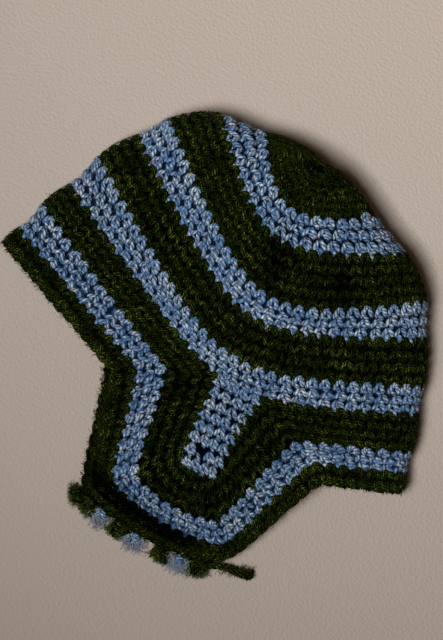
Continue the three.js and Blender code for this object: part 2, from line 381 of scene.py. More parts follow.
    def side_wall(self, edge: Edge, side: Side, tongue: Tongue | None) -> Loop:
        """Places the wall along one edge on one half, with the fold rolled at both ends.

        Args:
            edge: the edge to follow.
            side: the half of the hat.
            tongue: the flap's tongue on this edge, if it has one.

        Returns:
            An open run of points from left fold to right fold.
        """
        line = self.outline(edge, side, tongue)
        whole = max(line.length[-1], SHORTEST)
        run = min(edge.run, whole / 2)
        roll_angles = np.linspace(0, np.pi / 2, self.roll_steps)
        rolled = run * (1 - np.cos(roll_angles))
        middle = np.linspace(run, whole - run, self.middle_steps)[1:-1]
        length = np.concatenate([rolled, middle, (whole - rolled)[::-1]])
        x = np.interp(length, line.length, line.x)
        y = np.interp(length, line.length, line.y)
        top = np.interp(length, line.length, line.top)
        rising = line.length + TINY * np.arange(self.steps)
        head_x = np.interp(length, line.length, np.gradient(line.x, rising))
        head_y = np.interp(length, line.length, np.gradient(line.y, rising))
        from_fold = np.minimum(length, whole - length)
        roll = np.clip(1 - from_fold / max(run, SHORTEST), 0, 1)
        rise = np.sqrt(1 - roll * roll)
        level = top - self.dent_depth(x, y) if side is Side.UPPER else np.full_like(x, edge.base)
        outer = np.stack([x, y, edge.fold + (level - edge.fold) * rise], -1)
        toward = np.where(length < whole / 2, 1.0, -1.0)
        along = np.stack([head_x * toward, head_y * toward, np.zeros_like(x)], -1)
        if line.length[-1] < 1:
            along = np.tile([0.0, -1.0, 0.0], (len(x), 1))
        lean = math.radians(edge.lean)
        inward = np.array([0.0, -math.sin(lean), side.value * math.cos(lean)])
        depth = unit(along * roll[:, None] + inward * rise[:, None])
        run_length = running_length(outer)
        stops = [0.0, run_length[-1]]
        if tongue:
            centre, _ = tongue.end(side)
            reach = tongue.half + tongue.flank / 2
            marks = centre + np.array([-reach, -tongue.half, 0, tongue.half, reach])
            plan = np.interp(marks, line.x, line.length)
            stops[1:1] = list(np.interp(plan, length, run_length))
        return Loop(outer, depth, run_length, np.array(stops))

    def loop(self, name: str, with_tongue: bool) -> Loop:
        """Joins the two halves of an edge into a loop that starts at the left fold.

        Args:
            name: the edge's name.
            with_tongue: whether the edge follows its flap's tongue.

        Returns:
            The whole loop, moved to the hat's own origin.
        """
        edge = EDGES[name]
        tongue = TONGUES.get(name) if with_tongue else None
        upper = self.side_wall(edge, Side.UPPER, tongue)
        lower = self.side_wall(edge, Side.LOWER, tongue)
        outer = np.concatenate([upper.outer, lower.outer[::-1][1:]])
        depth = np.concatenate([upper.depth, lower.depth[::-1][1:]])
        length = running_length(outer)
        total = max(length[-1], SHORTEST)
        back = total - lower.anchors[::-1][1:]
        anchors = np.concatenate([upper.anchors, back]) / total
        outer = outer - np.array([self.centre[0], self.centre[1], 0])
        return Loop(outer, depth, length, anchors)


@dataclass
class BandSurface:
    """The surface of one yarn band: u runs round the hat and v from crown to brim.

    puff is how far the band's middle stands out in millimetres, from the share puff_start at
    its first round. The pole of the crown sinks by pole_sink over pole_reach of the band.
    """

    form: HatForm
    names: tuple[str, ...]
    with_tongue: bool
    before: str = ""
    after: str = ""
    puff: float = 0.0
    curls: bool = False
    puff_start: float = 0.35
    puff_rise: float = 4.0
    pole_sink: float = 2.2
    pole_reach: float = 0.12
    girth_steps: int = 600
    loops: list[Loop] = field(default_factory=list)
    knots: np.ndarray = field(default_factory=lambda: np.zeros(1))

    @classmethod
    def of(cls, form: HatForm, plan: "BandPlan") -> "BandSurface":
        """The surface of a planned band.

        Args:
            form: the hat's form.
            plan: the band's plan.

        Returns:
            The surface.
        """
        curls = plan.node == "brim_border"
        puff = STITCHES[plan.yarn].puff
        return cls(form, plan.edges, plan.with_tongue, plan.before, plan.after, puff, curls)

    def __post_init__(self) -> None:
        """Traces the band's loops and shares their anchors out."""
        chain = [n for n in (self.before, *self.names, self.after) if n]
        self.loops = [self.form.loop(n, self.with_tongue) for n in chain]
        if not self.before:
            self.loops.insert(0, self.loops[0])
        if not self.after:
            self.loops.append(self.loops[-1])
        inner = [loop.anchors for loop in self.loops[1:-1] if loop.length[-1] > 1]
        self.knots = np.mean(inner, axis=0)
        self.knots[0], self.knots[-1] = 0.0, 1.0

    def at(self, u: np.ndarray, v: np.ndarray) -> tuple[np.ndarray, np.ndarray]:
        """Places and depth directions on the outer surface.

        Args:
            u: parts of the way round, any real numbers.
            v: parts of the way down, about 0 to 1.

        Returns:
            Places in millimetres and unit directions into the wall.
        """
        spans = len(self.loops) - 3
        scaled = v * spans
        cell = np.clip(np.floor(scaled).astype(int), 0, spans - 1)
        t = (scaled - cell)[..., None]
        wrapped = np.mod(u, 1.0)
        outers, depths = [], []
        for loop in self.loops:
            part = wrapped
            if len(loop.anchors) == len(self.knots):
                part = np.interp(wrapped, self.knots, loop.anchors)
            outer, depth = loop.at(part)
            outers.append(outer)
            depths.append(depth)
        outers, depths = np.array(outers), np.array(depths)
        pick = [np.take_along_axis(outers, (cell + k)[None, ..., None], 0)[0] for k in range(4)]
        turn = [np.take_along_axis(depths, (cell + k)[None, ..., None], 0)[0] for k in (1, 2)]
        if self.with_tongue:
            place = pick[1] * (1 - t) + pick[2] * t
        else:
            place = self.spline(pick, t)
        depth = unit(turn[0] * (1 - t) + turn[1] * t)
        full = self.puff_start + (1 - self.puff_start) * np.clip(v * self.puff_rise, 0, 1)
        swell = self.puff * np.sin(np.pi * np.clip(v, 0, 1)) * full
        place = place - depth * swell[..., None]
        if self.names[0] == "pole":
            sink = self.pole_sink * np.exp(-((v / self.pole_reach) ** 2))
            place = place + depth * sink[..., None]
        if self.curls:
            place = self.form.curled(place, np.mod(u, 1.0) < 0.5, v)
        return place, depth

    def light(self, places: np.ndarray) -> np.ndarray:
        """How much light reaches places, less in the dents and between the flaps.

        Args:
            places: places in the hat's own origin, shaped any by 3.

        Returns:
            Parts of the light, 0 to 1.
        """
        if self.with_tongue:
            return self.form.light_in_fold(places)
        return self.form.light_in_dents(places)

    @staticmethod
    def spline(points: list[np.ndarray], t: np.ndarray) -> np.ndarray:
        """Smooth curve through four neighbouring points, between the middle two.

        Args:
            points: the four points.
            t: parts of the way from the second point to the third.

        Returns:
            Points on the curve.
        """
        a, b, c, d = points
        square = (2 * a - 5 * b + 4 * c - d) * t**2
        cube = (3 * b - a - 3 * c + d) * t**3
        return 0.5 * (2 * b + (c - a) * t + square + cube)

    def girth(self, v: float) -> float:
        """Length of the way round at one height of the band.

        Args:
            v: part of the way down the band.

        Returns:
            The length in millimetres.
        """
        u = np.linspace(0, 1, self.girth_steps, endpoint=False)
        place, _ = self.at(u, np.full_like(u, v))
        return float(np.linalg.norm(place - np.roll(place, 1, axis=0), axis=1).sum())


@dataclass
class TabSurface:
    """The short tongue of an ear tab: u runs across it and v from its root to its tip.

    reach is the part of the tongue's length that the tab fills. On the upper half its tip is
    shifted and lifted by millimetres and its end wider by the share widening.
    """

    form: HatForm
    side: Side
    reach: float = 0.89
    tip_shift: tuple[float, float] = (3.6, -2.6)
    tip_lift: float = 1.9
    widening: float = 0.26
    row_start: float = -0.2
    shift_end: float = 1.1

    def __post_init__(self) -> None:
        """Traces the tab's outline from its left root round the tip to its right root."""
        edge, tongue = EDGES["edge6"], TONGUES["edge6"]
        wall = self.form.side_wall(edge, self.side, tongue)
        root = (wall.length >= wall.anchors[1]) & (wall.length <= wall.anchors[-2])
        outline = wall.outer[root] - np.array([*self.form.centre, 0])
        half = len(outline) // 2
        self.left, self.right = outline[:half], outline[::-1][:half]

    def light(self, places: np.ndarray) -> np.ndarray:
        """How much light reaches places: all of it on the tab."""
        return np.ones(places.shape[:-1])

    def at(self, u: np.ndarray, v: np.ndarray) -> tuple[np.ndarray, np.ndarray]:
        """Places and depth directions on the tab's outer surface.

        Args:
            u: parts of the way across, 0 to 1.
            v: parts of the way down, 0 to 1.

        Returns:
            Places in millimetres and unit directions into the wall.
        """
        share = np.clip(v, 0, self.shift_end) * (self.side is Side.UPPER)
        row = np.clip(v, self.row_start, 1) * self.reach * (len(self.left) - 1)
        index = np.arange(len(self.left))
        left, right = along_line(row, index, self.left), along_line(row, index, self.right)
        across = u if self.side is Side.UPPER else 1 - u
        across = 0.5 + (across - 0.5) * (1 + self.widening * share)
        place = left + (right - left) * across[..., None]
        place[..., 0] += self.tip_shift[0] * share**3
        place[..., 1] += self.tip_shift[1] * share**3
        place[..., 2] += self.tip_lift * share**2
        depth = np.broadcast_to(UP * self.side.value, place.shape).copy()
        return place, depth


Surface = BandSurface | TabSurface


@dataclass
class StrandTemplate:
    """A round strand along +Z, modelled once and then bent along every stitch."""

    sides: int
    rings: int

    def __post_init__(self) -> None:
        """Models the strand and keeps its corners and faces."""
        bpy.ops.object.select_all(action="DESELECT")
        bpy.ops.mesh.primitive_cylinder_add(
            vertices=self.sides, radius=1, depth=1, end_fill_type="NGON", location=(0, 0, 0)
        )
        strand = bpy.context.active_object
        bpy.ops.object.mode_set(mode="EDIT")
        for cut in range(1, self.rings):
            bpy.ops.mesh.select_all(action="SELECT")
            bpy.ops.mesh.bisect(plane_co=(0, 0, cut / self.rings - 0.5), plane_no=(0, 0, 1))
        bpy.ops.object.mode_set(mode="OBJECT")
        mesh = strand.data
        corners = np.array([v.co for v in mesh.vertices])
        self.part = corners[:, 2] + 0.5
        self.ring = np.rint(self.part * self.rings).astype(int)
        self.turn = np.arctan2(corners[:, 1], corners[:, 0])
        self.faces = [tuple(p.vertices) for p in mesh.polygons]
        self.uvs = self.unrolled()
        bpy.data.objects.remove(strand)
        bpy.data.meshes.remove(mesh)

    def unrolled(self) -> np.ndarray:
        """UV of every face corner: U along the strand and V round it, without a smeared seam.

        Returns:
            UVs, shaped corners by 2.
        """
        rows = []
        for face in self.faces:
            turns = self.turn[list(face)] / (2 * np.pi)
            turns = turns[0] + (turns - turns[0] + 0.5) % 1.0 - 0.5
            rows.extend(zip(self.part[list(face)], turns, strict=True))
        return np.array(rows)


@dataclass
class MeshPile:
    """Corners, faces, UVs and material numbers gathered for one joined mesh."""

    points: list[np.ndarray] = field(default_factory=list)
    faces: list[np.ndarray] = field(default_factory=list)
    sizes: list[np.ndarray] = field(default_factory=list)
    uvs: list[np.ndarray] = field(default_factory=list)
    slots: list[np.ndarray] = field(default_factory=list)
    tones_and_shades: list[np.ndarray] = field(default_factory=list)
    count: int = 0

    def add_copies(
        self,
        points: np.ndarray,
        faces: list[tuple[int, ...]],
        uvs: np.ndarray,
        slot: Slot,
        tones_and_shades: np.ndarray | None = None,
    ) -> None:
        """Adds many bent copies of one template.

        Args:
            points: corners of every copy, shaped copies by corners by 3.
            faces: the template's faces.
            uvs: UVs of every copy's face corners, shaped copies by corners by 2.
            slot: the copies' material.
            tones_and_shades: each corner's own tone times its painted shade, 0 to 1, or nothing for 1.
        """
        copies, corners = points.shape[:2]
        flat = np.concatenate([np.array(face) for face in faces])
        sizes = np.array([len(face) for face in faces])
        offset = self.count + corners * np.arange(copies)[:, None]
        self.points.append(points.reshape(-1, 3))
        self.faces.append((flat[None] + offset).ravel())
        self.sizes.append(np.tile(sizes, copies))
        self.uvs.append(uvs.reshape(-1, 2))
        self.slots.append(np.full(copies * len(sizes), slot))
        self.tones_and_shades.append(np.ones(copies * corners) if tones_and_shades is None else tones_and_shades.ravel())
        self.count += copies * corners

    def to_object(self, name: str, materials: list[bpy.types.Material]) -> bpy.types.Object:
        """Builds the joined mesh as one smooth object with its materials.

        Args:
            name: the object's name.
            materials: the piece's materials, in the order of Slot.

        Returns:
            The object.
        """
        mesh = bpy.data.meshes.new(name)
        points = np.concatenate(self.points) * MM
        corners = np.concatenate(self.faces)
        sizes = np.concatenate(self.sizes)
        mesh.vertices.add(len(points))
        mesh.vertices.foreach_set("co", points.astype(np.float32).ravel())
        mesh.loops.add(len(corners))
        mesh.loops.foreach_set("vertex_index", corners.astype(np.int32))
        mesh.polygons.add(len(sizes))
        starts = np.concatenate([[0], np.cumsum(sizes)[:-1]])
        mesh.polygons.foreach_set("loop_start", starts.astype(np.int32))
        mesh.polygons.foreach_set("loop_total", sizes.astype(np.int32))
        mesh.polygons.foreach_set("material_index", np.concatenate(self.slots).astype(np.int32))
        mesh.polygons.foreach_set("use_smooth", np.ones(len(sizes), bool))
        layer = mesh.uv_layers.new(name="Yarn")
        layer.data.foreach_set("uv", np.concatenate(self.uvs).astype(np.float32).ravel())
        # Each corner's own tone times its painted shade, which darkens the yarn materials.
        tone_and_shade = mesh.attributes.new("ToneAndPaintedShade", "FLOAT", "POINT")
        tone_and_shade.data.foreach_set("value", np.concatenate(self.tones_and_shades).astype(np.float32))
        mesh.update(calc_edges=True)
        mesh.validate()
        piece = bpy.data.objects.new(name, mesh)
        bpy.context.scene.collection.objects.link(piece)
        for material in materials:
            mesh.materials.append(material)
        return piece


def rest_on_table(pile: MeshPile) -> None:
    """Presses whatever would reach below the table flat against it."""
    for points in pile.points:
        points[:, 2] = np.maximum(points[:, 2], TABLE_CLEARANCE)


@dataclass(frozen=True)
class StitchPath:
    """The way of a strand over one cell of the fabric.

    Each row is (across, down, out, radius): across in stitch widths from the cell's middle, down
    in rounds from the cell's crown side, and out and radius in millimetres, with out measured
    from the wall's outer surface to the strand's top.
    """

    rows: tuple[tuple[float, float, float, float], ...]

    def eased(self, parts: np.ndarray) -> np.ndarray:
        """Points of the path at parts of its way, through a smooth curve.

        Args:
            parts: parts of the way along the path.

        Returns:
            Points with the path's four values each.
        """
        rows = np.array(self.rows, float)
        padded = np.vstack([2 * rows[0] - rows[1], rows, 2 * rows[-1] - rows[-2]])
        scaled = parts * (len(rows) - 1)
        cell = np.clip(np.floor(scaled).astype(int), 0, len(rows) - 2)
        t = (scaled - cell)[:, None]
        return BandSurface.spline([padded[cell + k] for k in range(4)], t)


FIRST_ARCH = StitchPath(
    (
        (-0.36, 0.80, -1.6, 0.95),
        (-0.32, 0.52, -0.1, 1.30),
        (-0.22, 0.20, 0.4, 1.45),
        (-0.08, -0.05, 0.5, 1.35),
        (0.07, -0.08, 0.4, 1.30),
        (0.19, 0.14, 0.4, 1.45),
        (0.29, 0.46, 0.2, 1.45),
        (0.35, 0.78, -1.5, 1.05),
    )
)
GREEN_LEGS = StitchPath(
    (
        (-0.44, 0.80, -1.9, 1.00),
        (-0.36, 0.58, -0.1, 1.30),
        (-0.24, 0.32, 0.3, 1.35),
        (-0.10, 0.14, -0.5, 1.20),
        (0.04, 0.08, -0.7, 1.20),
        (0.15, 0.26, 0.4, 1.45),
        (0.28, 0.50, 0.4, 1.50),
        (0.38, 0.78, -1.6, 1.10),
    )
)
GREEN_BAR = StitchPath(
    (
        (-0.42, 0.70, -3.0, 0.90),
        (-0.22, 0.80, -1.8, 1.15),
        (0.00, 0.86, -1.6, 1.25),
        (0.22, 0.94, -1.8, 1.15),
        (0.42, 1.04, -3.0, 0.90),
    )
)
BLUE_LEGS = StitchPath(
    (
        (-0.46, 0.84, -1.8, 0.95),
        (-0.37, 0.62, 0.0, 1.20),
        (-0.22, 0.32, 0.3, 1.30),
        (-0.09, 0.08, -1.0, 1.05),
        (0.04, 0.04, -1.2, 1.05),
        (0.17, 0.24, 0.3, 1.35),
        (0.31, 0.52, 0.2, 1.40),
        (0.42, 0.80, -1.6, 1.05),
    )
)
BLUE_BAR = StitchPath(
    (
        (-0.22, 0.56, -1.6, 0.80),
        (-0.10, 0.64, -0.3, 1.10),
        (0.02, 0.76, -0.2, 1.20),
        (0.12, 0.88, -0.6, 1.10),
        (0.20, 1.00, -2.0, 0.80),
    )
)
TOOTH = StitchPath(
    (
        (-0.10, 0.66, -1.4, 1.05),
        (-0.03, 0.86, -0.2, 1.50),
        (0.02, 1.06, -0.1, 1.45),
        (0.04, 1.24, -0.9, 0.80),
    )
)
RIM_CHAIN = StitchPath(
    (
        (-0.58, 0.70, -0.9, 1.20),
        (-0.28, 0.78, -0.3, 1.90),
        (0.18, 0.84, -0.3, 2.05),
        (0.52, 0.72, -0.9, 1.20),
    )
)
LOOSE_LOOP = StitchPath(
    (
        (-0.45, -0.10, 0.2, 0.70),
        (-0.30, -0.50, 1.3, 0.95),
        (0.05, -0.72, 1.7, 1.05),
        (0.36, -0.50, 1.5, 1.00),
        (0.30, -0.16, 1.2, 0.95),
        (0.00, -0.12, 1.5, 0.70),
        (-0.25, -0.34, 2.4, 0.35),
    )
)
SIDE_TOOTH = StitchPath(
    (
        (-0.22, 0.50, -1.6, 1.00),
        (-0.10, 0.62, -0.2, 1.35),
        (0.10, 0.66, -0.2, 1.35),
        (0.24, 0.80, -1.4, 0.90),
    )
)
INNER_BUMP = StitchPath(
    (
        (-0.52, 0.36, -1.9, 1.00),
        (-0.20, 0.26, -0.1, 1.70),
        (0.20, 0.30, -0.1, 1.70),
        (0.52, 0.44, -1.9, 1.00),
    )
)
INNER_LEG = StitchPath(
    (
        (-0.30, 0.46, -1.8, 1.10),
        (-0.12, 0.66, -0.5, 1.50),
        (0.12, 0.88, -0.5, 1.50),
        (0.30, 1.10, -1.8, 1.10),
    )
)


@dataclass(frozen=True)
class StitchSet:
    """How one yarn is worked: its stitch paths, swell, hollows and loose fibres.

    puff is how far a band's middle stands out, and hollow_depth the depth at which a strand is
    fully dark with painted shade, both in millimetres. fibre_density counts fibres of fibre_length
    and fibre_width millimetres to a square millimetre.
    """

    legs: StitchPath
    bar: StitchPath
    puff: float
    hollow_depth: float
    fibre_density: float
    fibre_length: float
    fibre_width: float


STITCHES = {
    Yarn.GREEN: StitchSet(GREEN_LEGS, GREEN_BAR, 0.9, 1.8, 0.22, 3.2, 0.27),
    Yarn.BLUE: StitchSet(BLUE_LEGS, BLUE_BAR, -0.7, 2.0, 0.05, 2.6, 0.10),
}


@dataclass
class StrandBender:
    """Bends a strand template along stitches and loose strands.

    A strand keeps its full colour down to lit_depth and is fully dark with painted shade hollow_depth
    below that, and each strand has a brightness of its own, from dullest to 1. ply_pitch is one step
    of U along a strand.
    """

    template: StrandTemplate
    rng: np.random.Generator
    hollow_depth: float
    lit_depth: float = 0.3
    dullest: float = 0.72
    ply_pitch: float = 9.0
    starts: float = 50.0

    @property
    def rings(self) -> int:
        """How many points a centre line needs."""
        return self.template.rings + 1

    def lay(
        self,
        pile: MeshPile,
        centres: np.ndarray,
        outs: np.ndarray,
        radius: np.ndarray,
        slot: Slot = Slot.STRANDS,
        sunk: np.ndarray | None = None,
        light: np.ndarray | None = None,
    ) -> None:
        """Bends strands along their centre lines into a pile.

        Args:
            pile: where the strands go.
            centres: centre points, shaped strands by rings by 3.
            outs: outward directions, of the same shape.
            radius: radii, shaped strands by rings.
            slot: the strands' material.
            sunk: how deep the centre lines lie in the fabric, shaped strands by rings.
            light: how much light reaches the strands, 0 to 1, of the same shape.
        """
        points = self.bend(centres, outs, radius)
        ring = self.template.ring
        tones_and_shades = self.rng.uniform(self.dullest, 1.0, (len(centres), 1)) * np.ones((1, len(ring)))
        # Painted shade: darker with depth in the fabric and where the given light is low.
        if sunk is not None:
            depth = sunk[:, ring] + radius[:, ring] * np.cos(self.template.turn)
            tones_and_shades = tones_and_shades * np.clip(1 - (depth - self.lit_depth) / self.hollow_depth, 0, 1)
        if light is not None:
            tones_and_shades = tones_and_shades * light[:, ring]
        pile.add_copies(points, self.template.faces, self.uvs(centres), slot, tones_and_shades)

    def bend(self, centres: np.ndarray, outs: np.ndarray, radius: np.ndarray) -> np.ndarray:
        """Wraps the template round given centre lines.

        Args:
            centres: centre points, shaped strands by rings by 3.
            outs: outward directions, of the same shape.
            radius: radii, shaped strands by rings.

        Returns:
            Corners of every strand, shaped strands by corners by 3.
        """
        tangent = unit(np.gradient(centres, axis=1))
        side = unit(np.cross(tangent, outs))
        inward = np.cross(tangent, side)
        ring = self.template.ring
        turn = self.template.turn[None, :, None]
        spread = np.cos(turn) * inward[:, ring] + np.sin(turn) * side[:, ring]
        return centres[:, ring] + spread * radius[:, ring][..., None]

    def uvs(self, centres: np.ndarray) -> np.ndarray:
        """UVs of bent strands: U in turns of the ply, with a random start for each strand.

        Args:
            centres: the strands' middle lines, shaped strands by rings by 3.

        Returns:
            UVs of every strand's face corners, shaped strands by corners by 2.
        """
        steps = np.linalg.norm(np.diff(centres, axis=1), axis=-1).sum(1)
        base = self.template.uvs
        along = base[None, :, 0] * (steps / self.ply_pitch)[:, None]
        along = along + self.rng.uniform(0, self.starts, (len(centres), 1))
        return np.stack([along, np.broadcast_to(base[None, :, 1], along.shape)], -1)


@dataclass(frozen=True)
class Course:
    """One round or row of stitches on a surface, by its middles, width, top and height."""

    middles: np.ndarray
    width: float
    top: float
    height: float


@dataclass(frozen=True)
class Unevenness:
    """How much stitches differ, as spreads in parts of their sizes, and of sink in millimetres."""

    width: float = 0.06
    place: float = 0.045
    height: float = 0.04
    level: float = 0.035
    sink: float = 0.15
    strand: float = 0.05
    ring: float = 0.03


@dataclass(frozen=True)
class FibreStray:
    """How loose fibres stray from the yarn, in radians, millimetres and parts of their length.

    Between the rounds they have only the share groove_light of the light.
    """

    turn: float = 0.42
    lengths: tuple[float, float] = (0.5, 1.5)
    lift_shape: float = 1.3
    lift_scale: float = 0.3
    lift_bend: float = 1.5
    rooting: float = 0.2
    bow: float = 0.16
    taper: float = 0.6
    probe: float = 0.002
    groove_light: float = 0.3
    groove_shift: float = 0.08


@dataclass
class Crocheter:
    """Works courses of stitches over a surface into a pile of mesh.

    pitch is a stitch's width in millimetres, lean how far its path leans over its height in
    stitch widths, and slant the mean angle of its loose fibres.
    """

    arcs: StrandBender
    bars: StrandBender
    inner: StrandBender
    fibres: StrandBender
    stitches: StitchSet
    rng: np.random.Generator
    pitch: float = 7.1
    lean: float = 0.08
    slant: float = 0.5
    uneven: Unevenness = Unevenness()
    stray: FibreStray = FibreStray()

    def work(
        self,
        pile: MeshPile,
        surface: Surface,
        path: StitchPath,
        course: Course,
        bender: StrandBender,
        inside: float = 0.0,
        depth_shaded: bool = True,
    ) -> None:
        """Works one strand path into every stitch of a course.

        Args:
            pile: where the stitches go.
            surface: the surface that they lie on, with at(u, v).
            path: the way of each stitch's strand.
            course: the round or row.
            bender: what bends the strands.
            inside: the wall's thickness where the strands lie on its inner face, or 0.
            depth_shaded: whether the strands get painted shade with depth, as all but a rim's strands do.
        """
        rings = bender.rings
        rows = path.eased(np.linspace(0, 1, rings))
        count = len(course.middles)
        across, down, out, thick = rows.T
        width, shift, rise, sink, height = self.rng.normal(0, 1, (count, 5)).T[..., None]
        uneven = self.uneven
        skew = self.lean * (down - 0.5)
        across = across * (1 + uneven.width * width) + skew + uneven.place * shift
        down = down * (1 + uneven.height * height) + uneven.level * rise
        u = course.middles[:, None] + across * course.width
        v = course.top + down * course.height
        place, depth = surface.at(u, v)
        radius = thick * (1 + uneven.strand * self.rng.normal(0, 1, (count, 1)))
        radius = radius * (1 + uneven.ring * self.rng.normal(0, 1, (count, rings)))
        sunk = radius - out + uneven.sink * np.abs(sink)
        centres = place + depth * (inside - sunk if inside else sunk)[..., None]
        outs = depth if inside else -depth
        light = surface.light(centres)
        bender.lay(pile, centres, outs, radius, Slot.STRANDS, sunk if depth_shaded else None, light)

    def tease(
        self, pile: MeshPile, surface: Surface, spread: np.ndarray, rounds: int, inside: float = 0.0
    ) -> None:
        """Teases loose fibres out of the yarn.

        Args:
            pile: where the fibres go.
            surface: the surface that they stand on, with at(u, v).
            spread: u and v of each fibre's root, shaped fibres by 2.
            rounds: how many rounds the surface has, with less light between them.
            inside: the wall's thickness where the fibres stand on its inner face, or 0.
        """
        rings, count, stray = self.fibres.rings, len(spread), self.stray
        place, depth = surface.at(spread[:, 0], spread[:, 1])
        near, _ = surface.at(spread[:, 0] + stray.probe, spread[:, 1])
        along = unit(near - place)
        if inside:
            place, depth = place + depth * inside, -depth
        across = np.cross(depth, along)
        turn = self.rng.normal(math.pi / 2 + self.slant, stray.turn, count)
        ahead = np.cos(turn)[:, None] * along + np.sin(turn)[:, None] * across
        aside = np.cross(depth, ahead)
        part = np.linspace(0, 1, rings)[None, :, None]
        length = self.stitches.fibre_length * self.rng.uniform(*stray.lengths, count)[:, None, None]
        lift = self.rng.gamma(stray.lift_shape, stray.lift_scale, count)[:, None, None]
        bow = self.rng.normal(0, stray.bow, count)[:, None, None] * length
        line = place[:, None] + ahead[:, None] * length * (part - 0.5)
        line = line - depth[:, None] * (lift * part**stray.lift_bend - stray.rooting)
        line = line + aside[:, None] * bow * part**2
        taper = 1 - stray.taper * np.linspace(0, 1, rings)[None] ** 2
        radius = np.full((count, rings), self.stitches.fibre_width / 2) * taper
        outs = np.broadcast_to(-depth[:, None], line.shape)
        # Painted shade on the fibres between the rounds.
        wave = np.abs(np.sin(np.pi * (spread[:, 1] * rounds + stray.groove_shift)))[:, None]
        between_rounds_shade = stray.groove_light + (1 - stray.groove_light) * wave
        light = surface.light(line) * between_rounds_shade
        self.fibres.lay(pile, line, outs, radius, Slot.FIBRES, light=light)


@dataclass(frozen=True)
class Backing:
    """The closed inner fabric behind the stitches, by its depth in the wall in millimetres.

    It is coloured with painted shade, so that the holes between the stitches look dark, and light is
    the share of its colour that the painted shade keeps.
    """

    depth: float
    thickness: float
    light: float

    def add(self, pile: MeshPile, surface: Surface, u: np.ndarray, v: np.ndarray) -> None:
        """Adds the fabric over a grid of places, round the hat where the grid goes all round.

        Args:
            pile: where the fabric goes.
            surface: the surface that it lies under.
            u: parts of the way round or across, one to a column.
            v: parts of the way down, one to a row.
        """
        place, depth = surface.at(*np.meshgrid(u, v, indexing="ij"))
        outer = place + depth * self.depth
        inner = place + depth * (self.depth + self.thickness)
        points = np.concatenate([outer.reshape(-1, 3), inner.reshape(-1, 3)])[None]
        faces = self.faces(len(u), len(v), isinstance(surface, BandSurface))
        uvs = np.zeros((1, 4 * len(faces), 2))
        # Painted shade: the whole backing keeps only the share light of its colour.
        pile.add_copies(points, faces, uvs, Slot.BACKING, np.full(points.shape[1], self.light))

    @staticmethod
    def faces(columns: int, rows: int, closed: bool) -> list[tuple[int, ...]]:
        """Faces of the outer and inner sheet and of the rims that join them.

        Args:
            columns: how many columns of corners each sheet has.
            rows: how many rows.
            closed: whether the last column is joined to the first.

        Returns:
            The faces, each as its four corners.
        """
        shift = columns * rows
        grid = np.arange(shift).reshape(columns, rows)
        if closed:
            grid = np.vstack([grid, grid[:1]])
        sheet = np.stack([grid[:-1, :-1], grid[:-1, 1:], grid[1:, 1:], grid[1:, :-1]], -1)
        outer = sheet.reshape(-1, 4)
        starts, ends = [grid[:-1, 0], grid[1:, -1]], [grid[1:, 0], grid[:-1, -1]]
        if not closed:
            starts += [grid[-1, :-1], grid[0, 1:]]
            ends += [grid[-1, 1:], grid[0, :-1]]
        near, far = np.concatenate(starts), np.concatenate(ends)
        rims = np.stack([near, far, far + shift, near + shift], -1)
        return [tuple(face) for face in np.concatenate([outer, outer[:, ::-1] + shift, rims])]


@dataclass(frozen=True)
class BandPlan:
    """What one yarn band is made of: its solid, yarn, edges and rounds.

    before and after are the edges beyond it that its curve follows, and fuzz multiplies its
    loose fibres.
    """

    node: str
    yarn: Yarn
    edges: tuple[str, ...]
    rounds: int
    with_tongue: bool = False
    before: str = ""
    after: str = ""
    fuzz: float = 1.0


BANDS = (
    BandPlan(
        "crown_top", Yarn.GREEN, ("pole", "crown2", "crown4", "crown6", "edge1"), 8, after="edge2", fuzz=1.7
    ),
    BandPlan("blue_band_1", Yarn.BLUE, ("edge1", "edge2"), 3, False, "crown6", "edge3"),
    BandPlan("green_band_1", Yarn.GREEN, ("edge2", "edge3"), 5, False, "edge1", "edge4"),
    BandPlan("blue_band_2", Yarn.BLUE, ("edge3", "edge4"), 3, False, "edge2", "edge5"),
    BandPlan("green_band_2", Yarn.GREEN, ("edge4", "edge5"), 4, False, "edge3", "edge6"),
    BandPlan("blue_band_3", Yarn.BLUE, ("edge5", "edge6"), 3, False, "edge4", "edge7"),
    BandPlan("green_band_3", Yarn.GREEN, ("edge6", "edge7"), 4, True),
    BandPlan("blue_band_4", Yarn.BLUE, ("edge7", "edge8"), 3, True),
    BandPlan("brim_border", Yarn.GREEN, ("edge8", "edge9"), 2, True, fuzz=1.4),
)


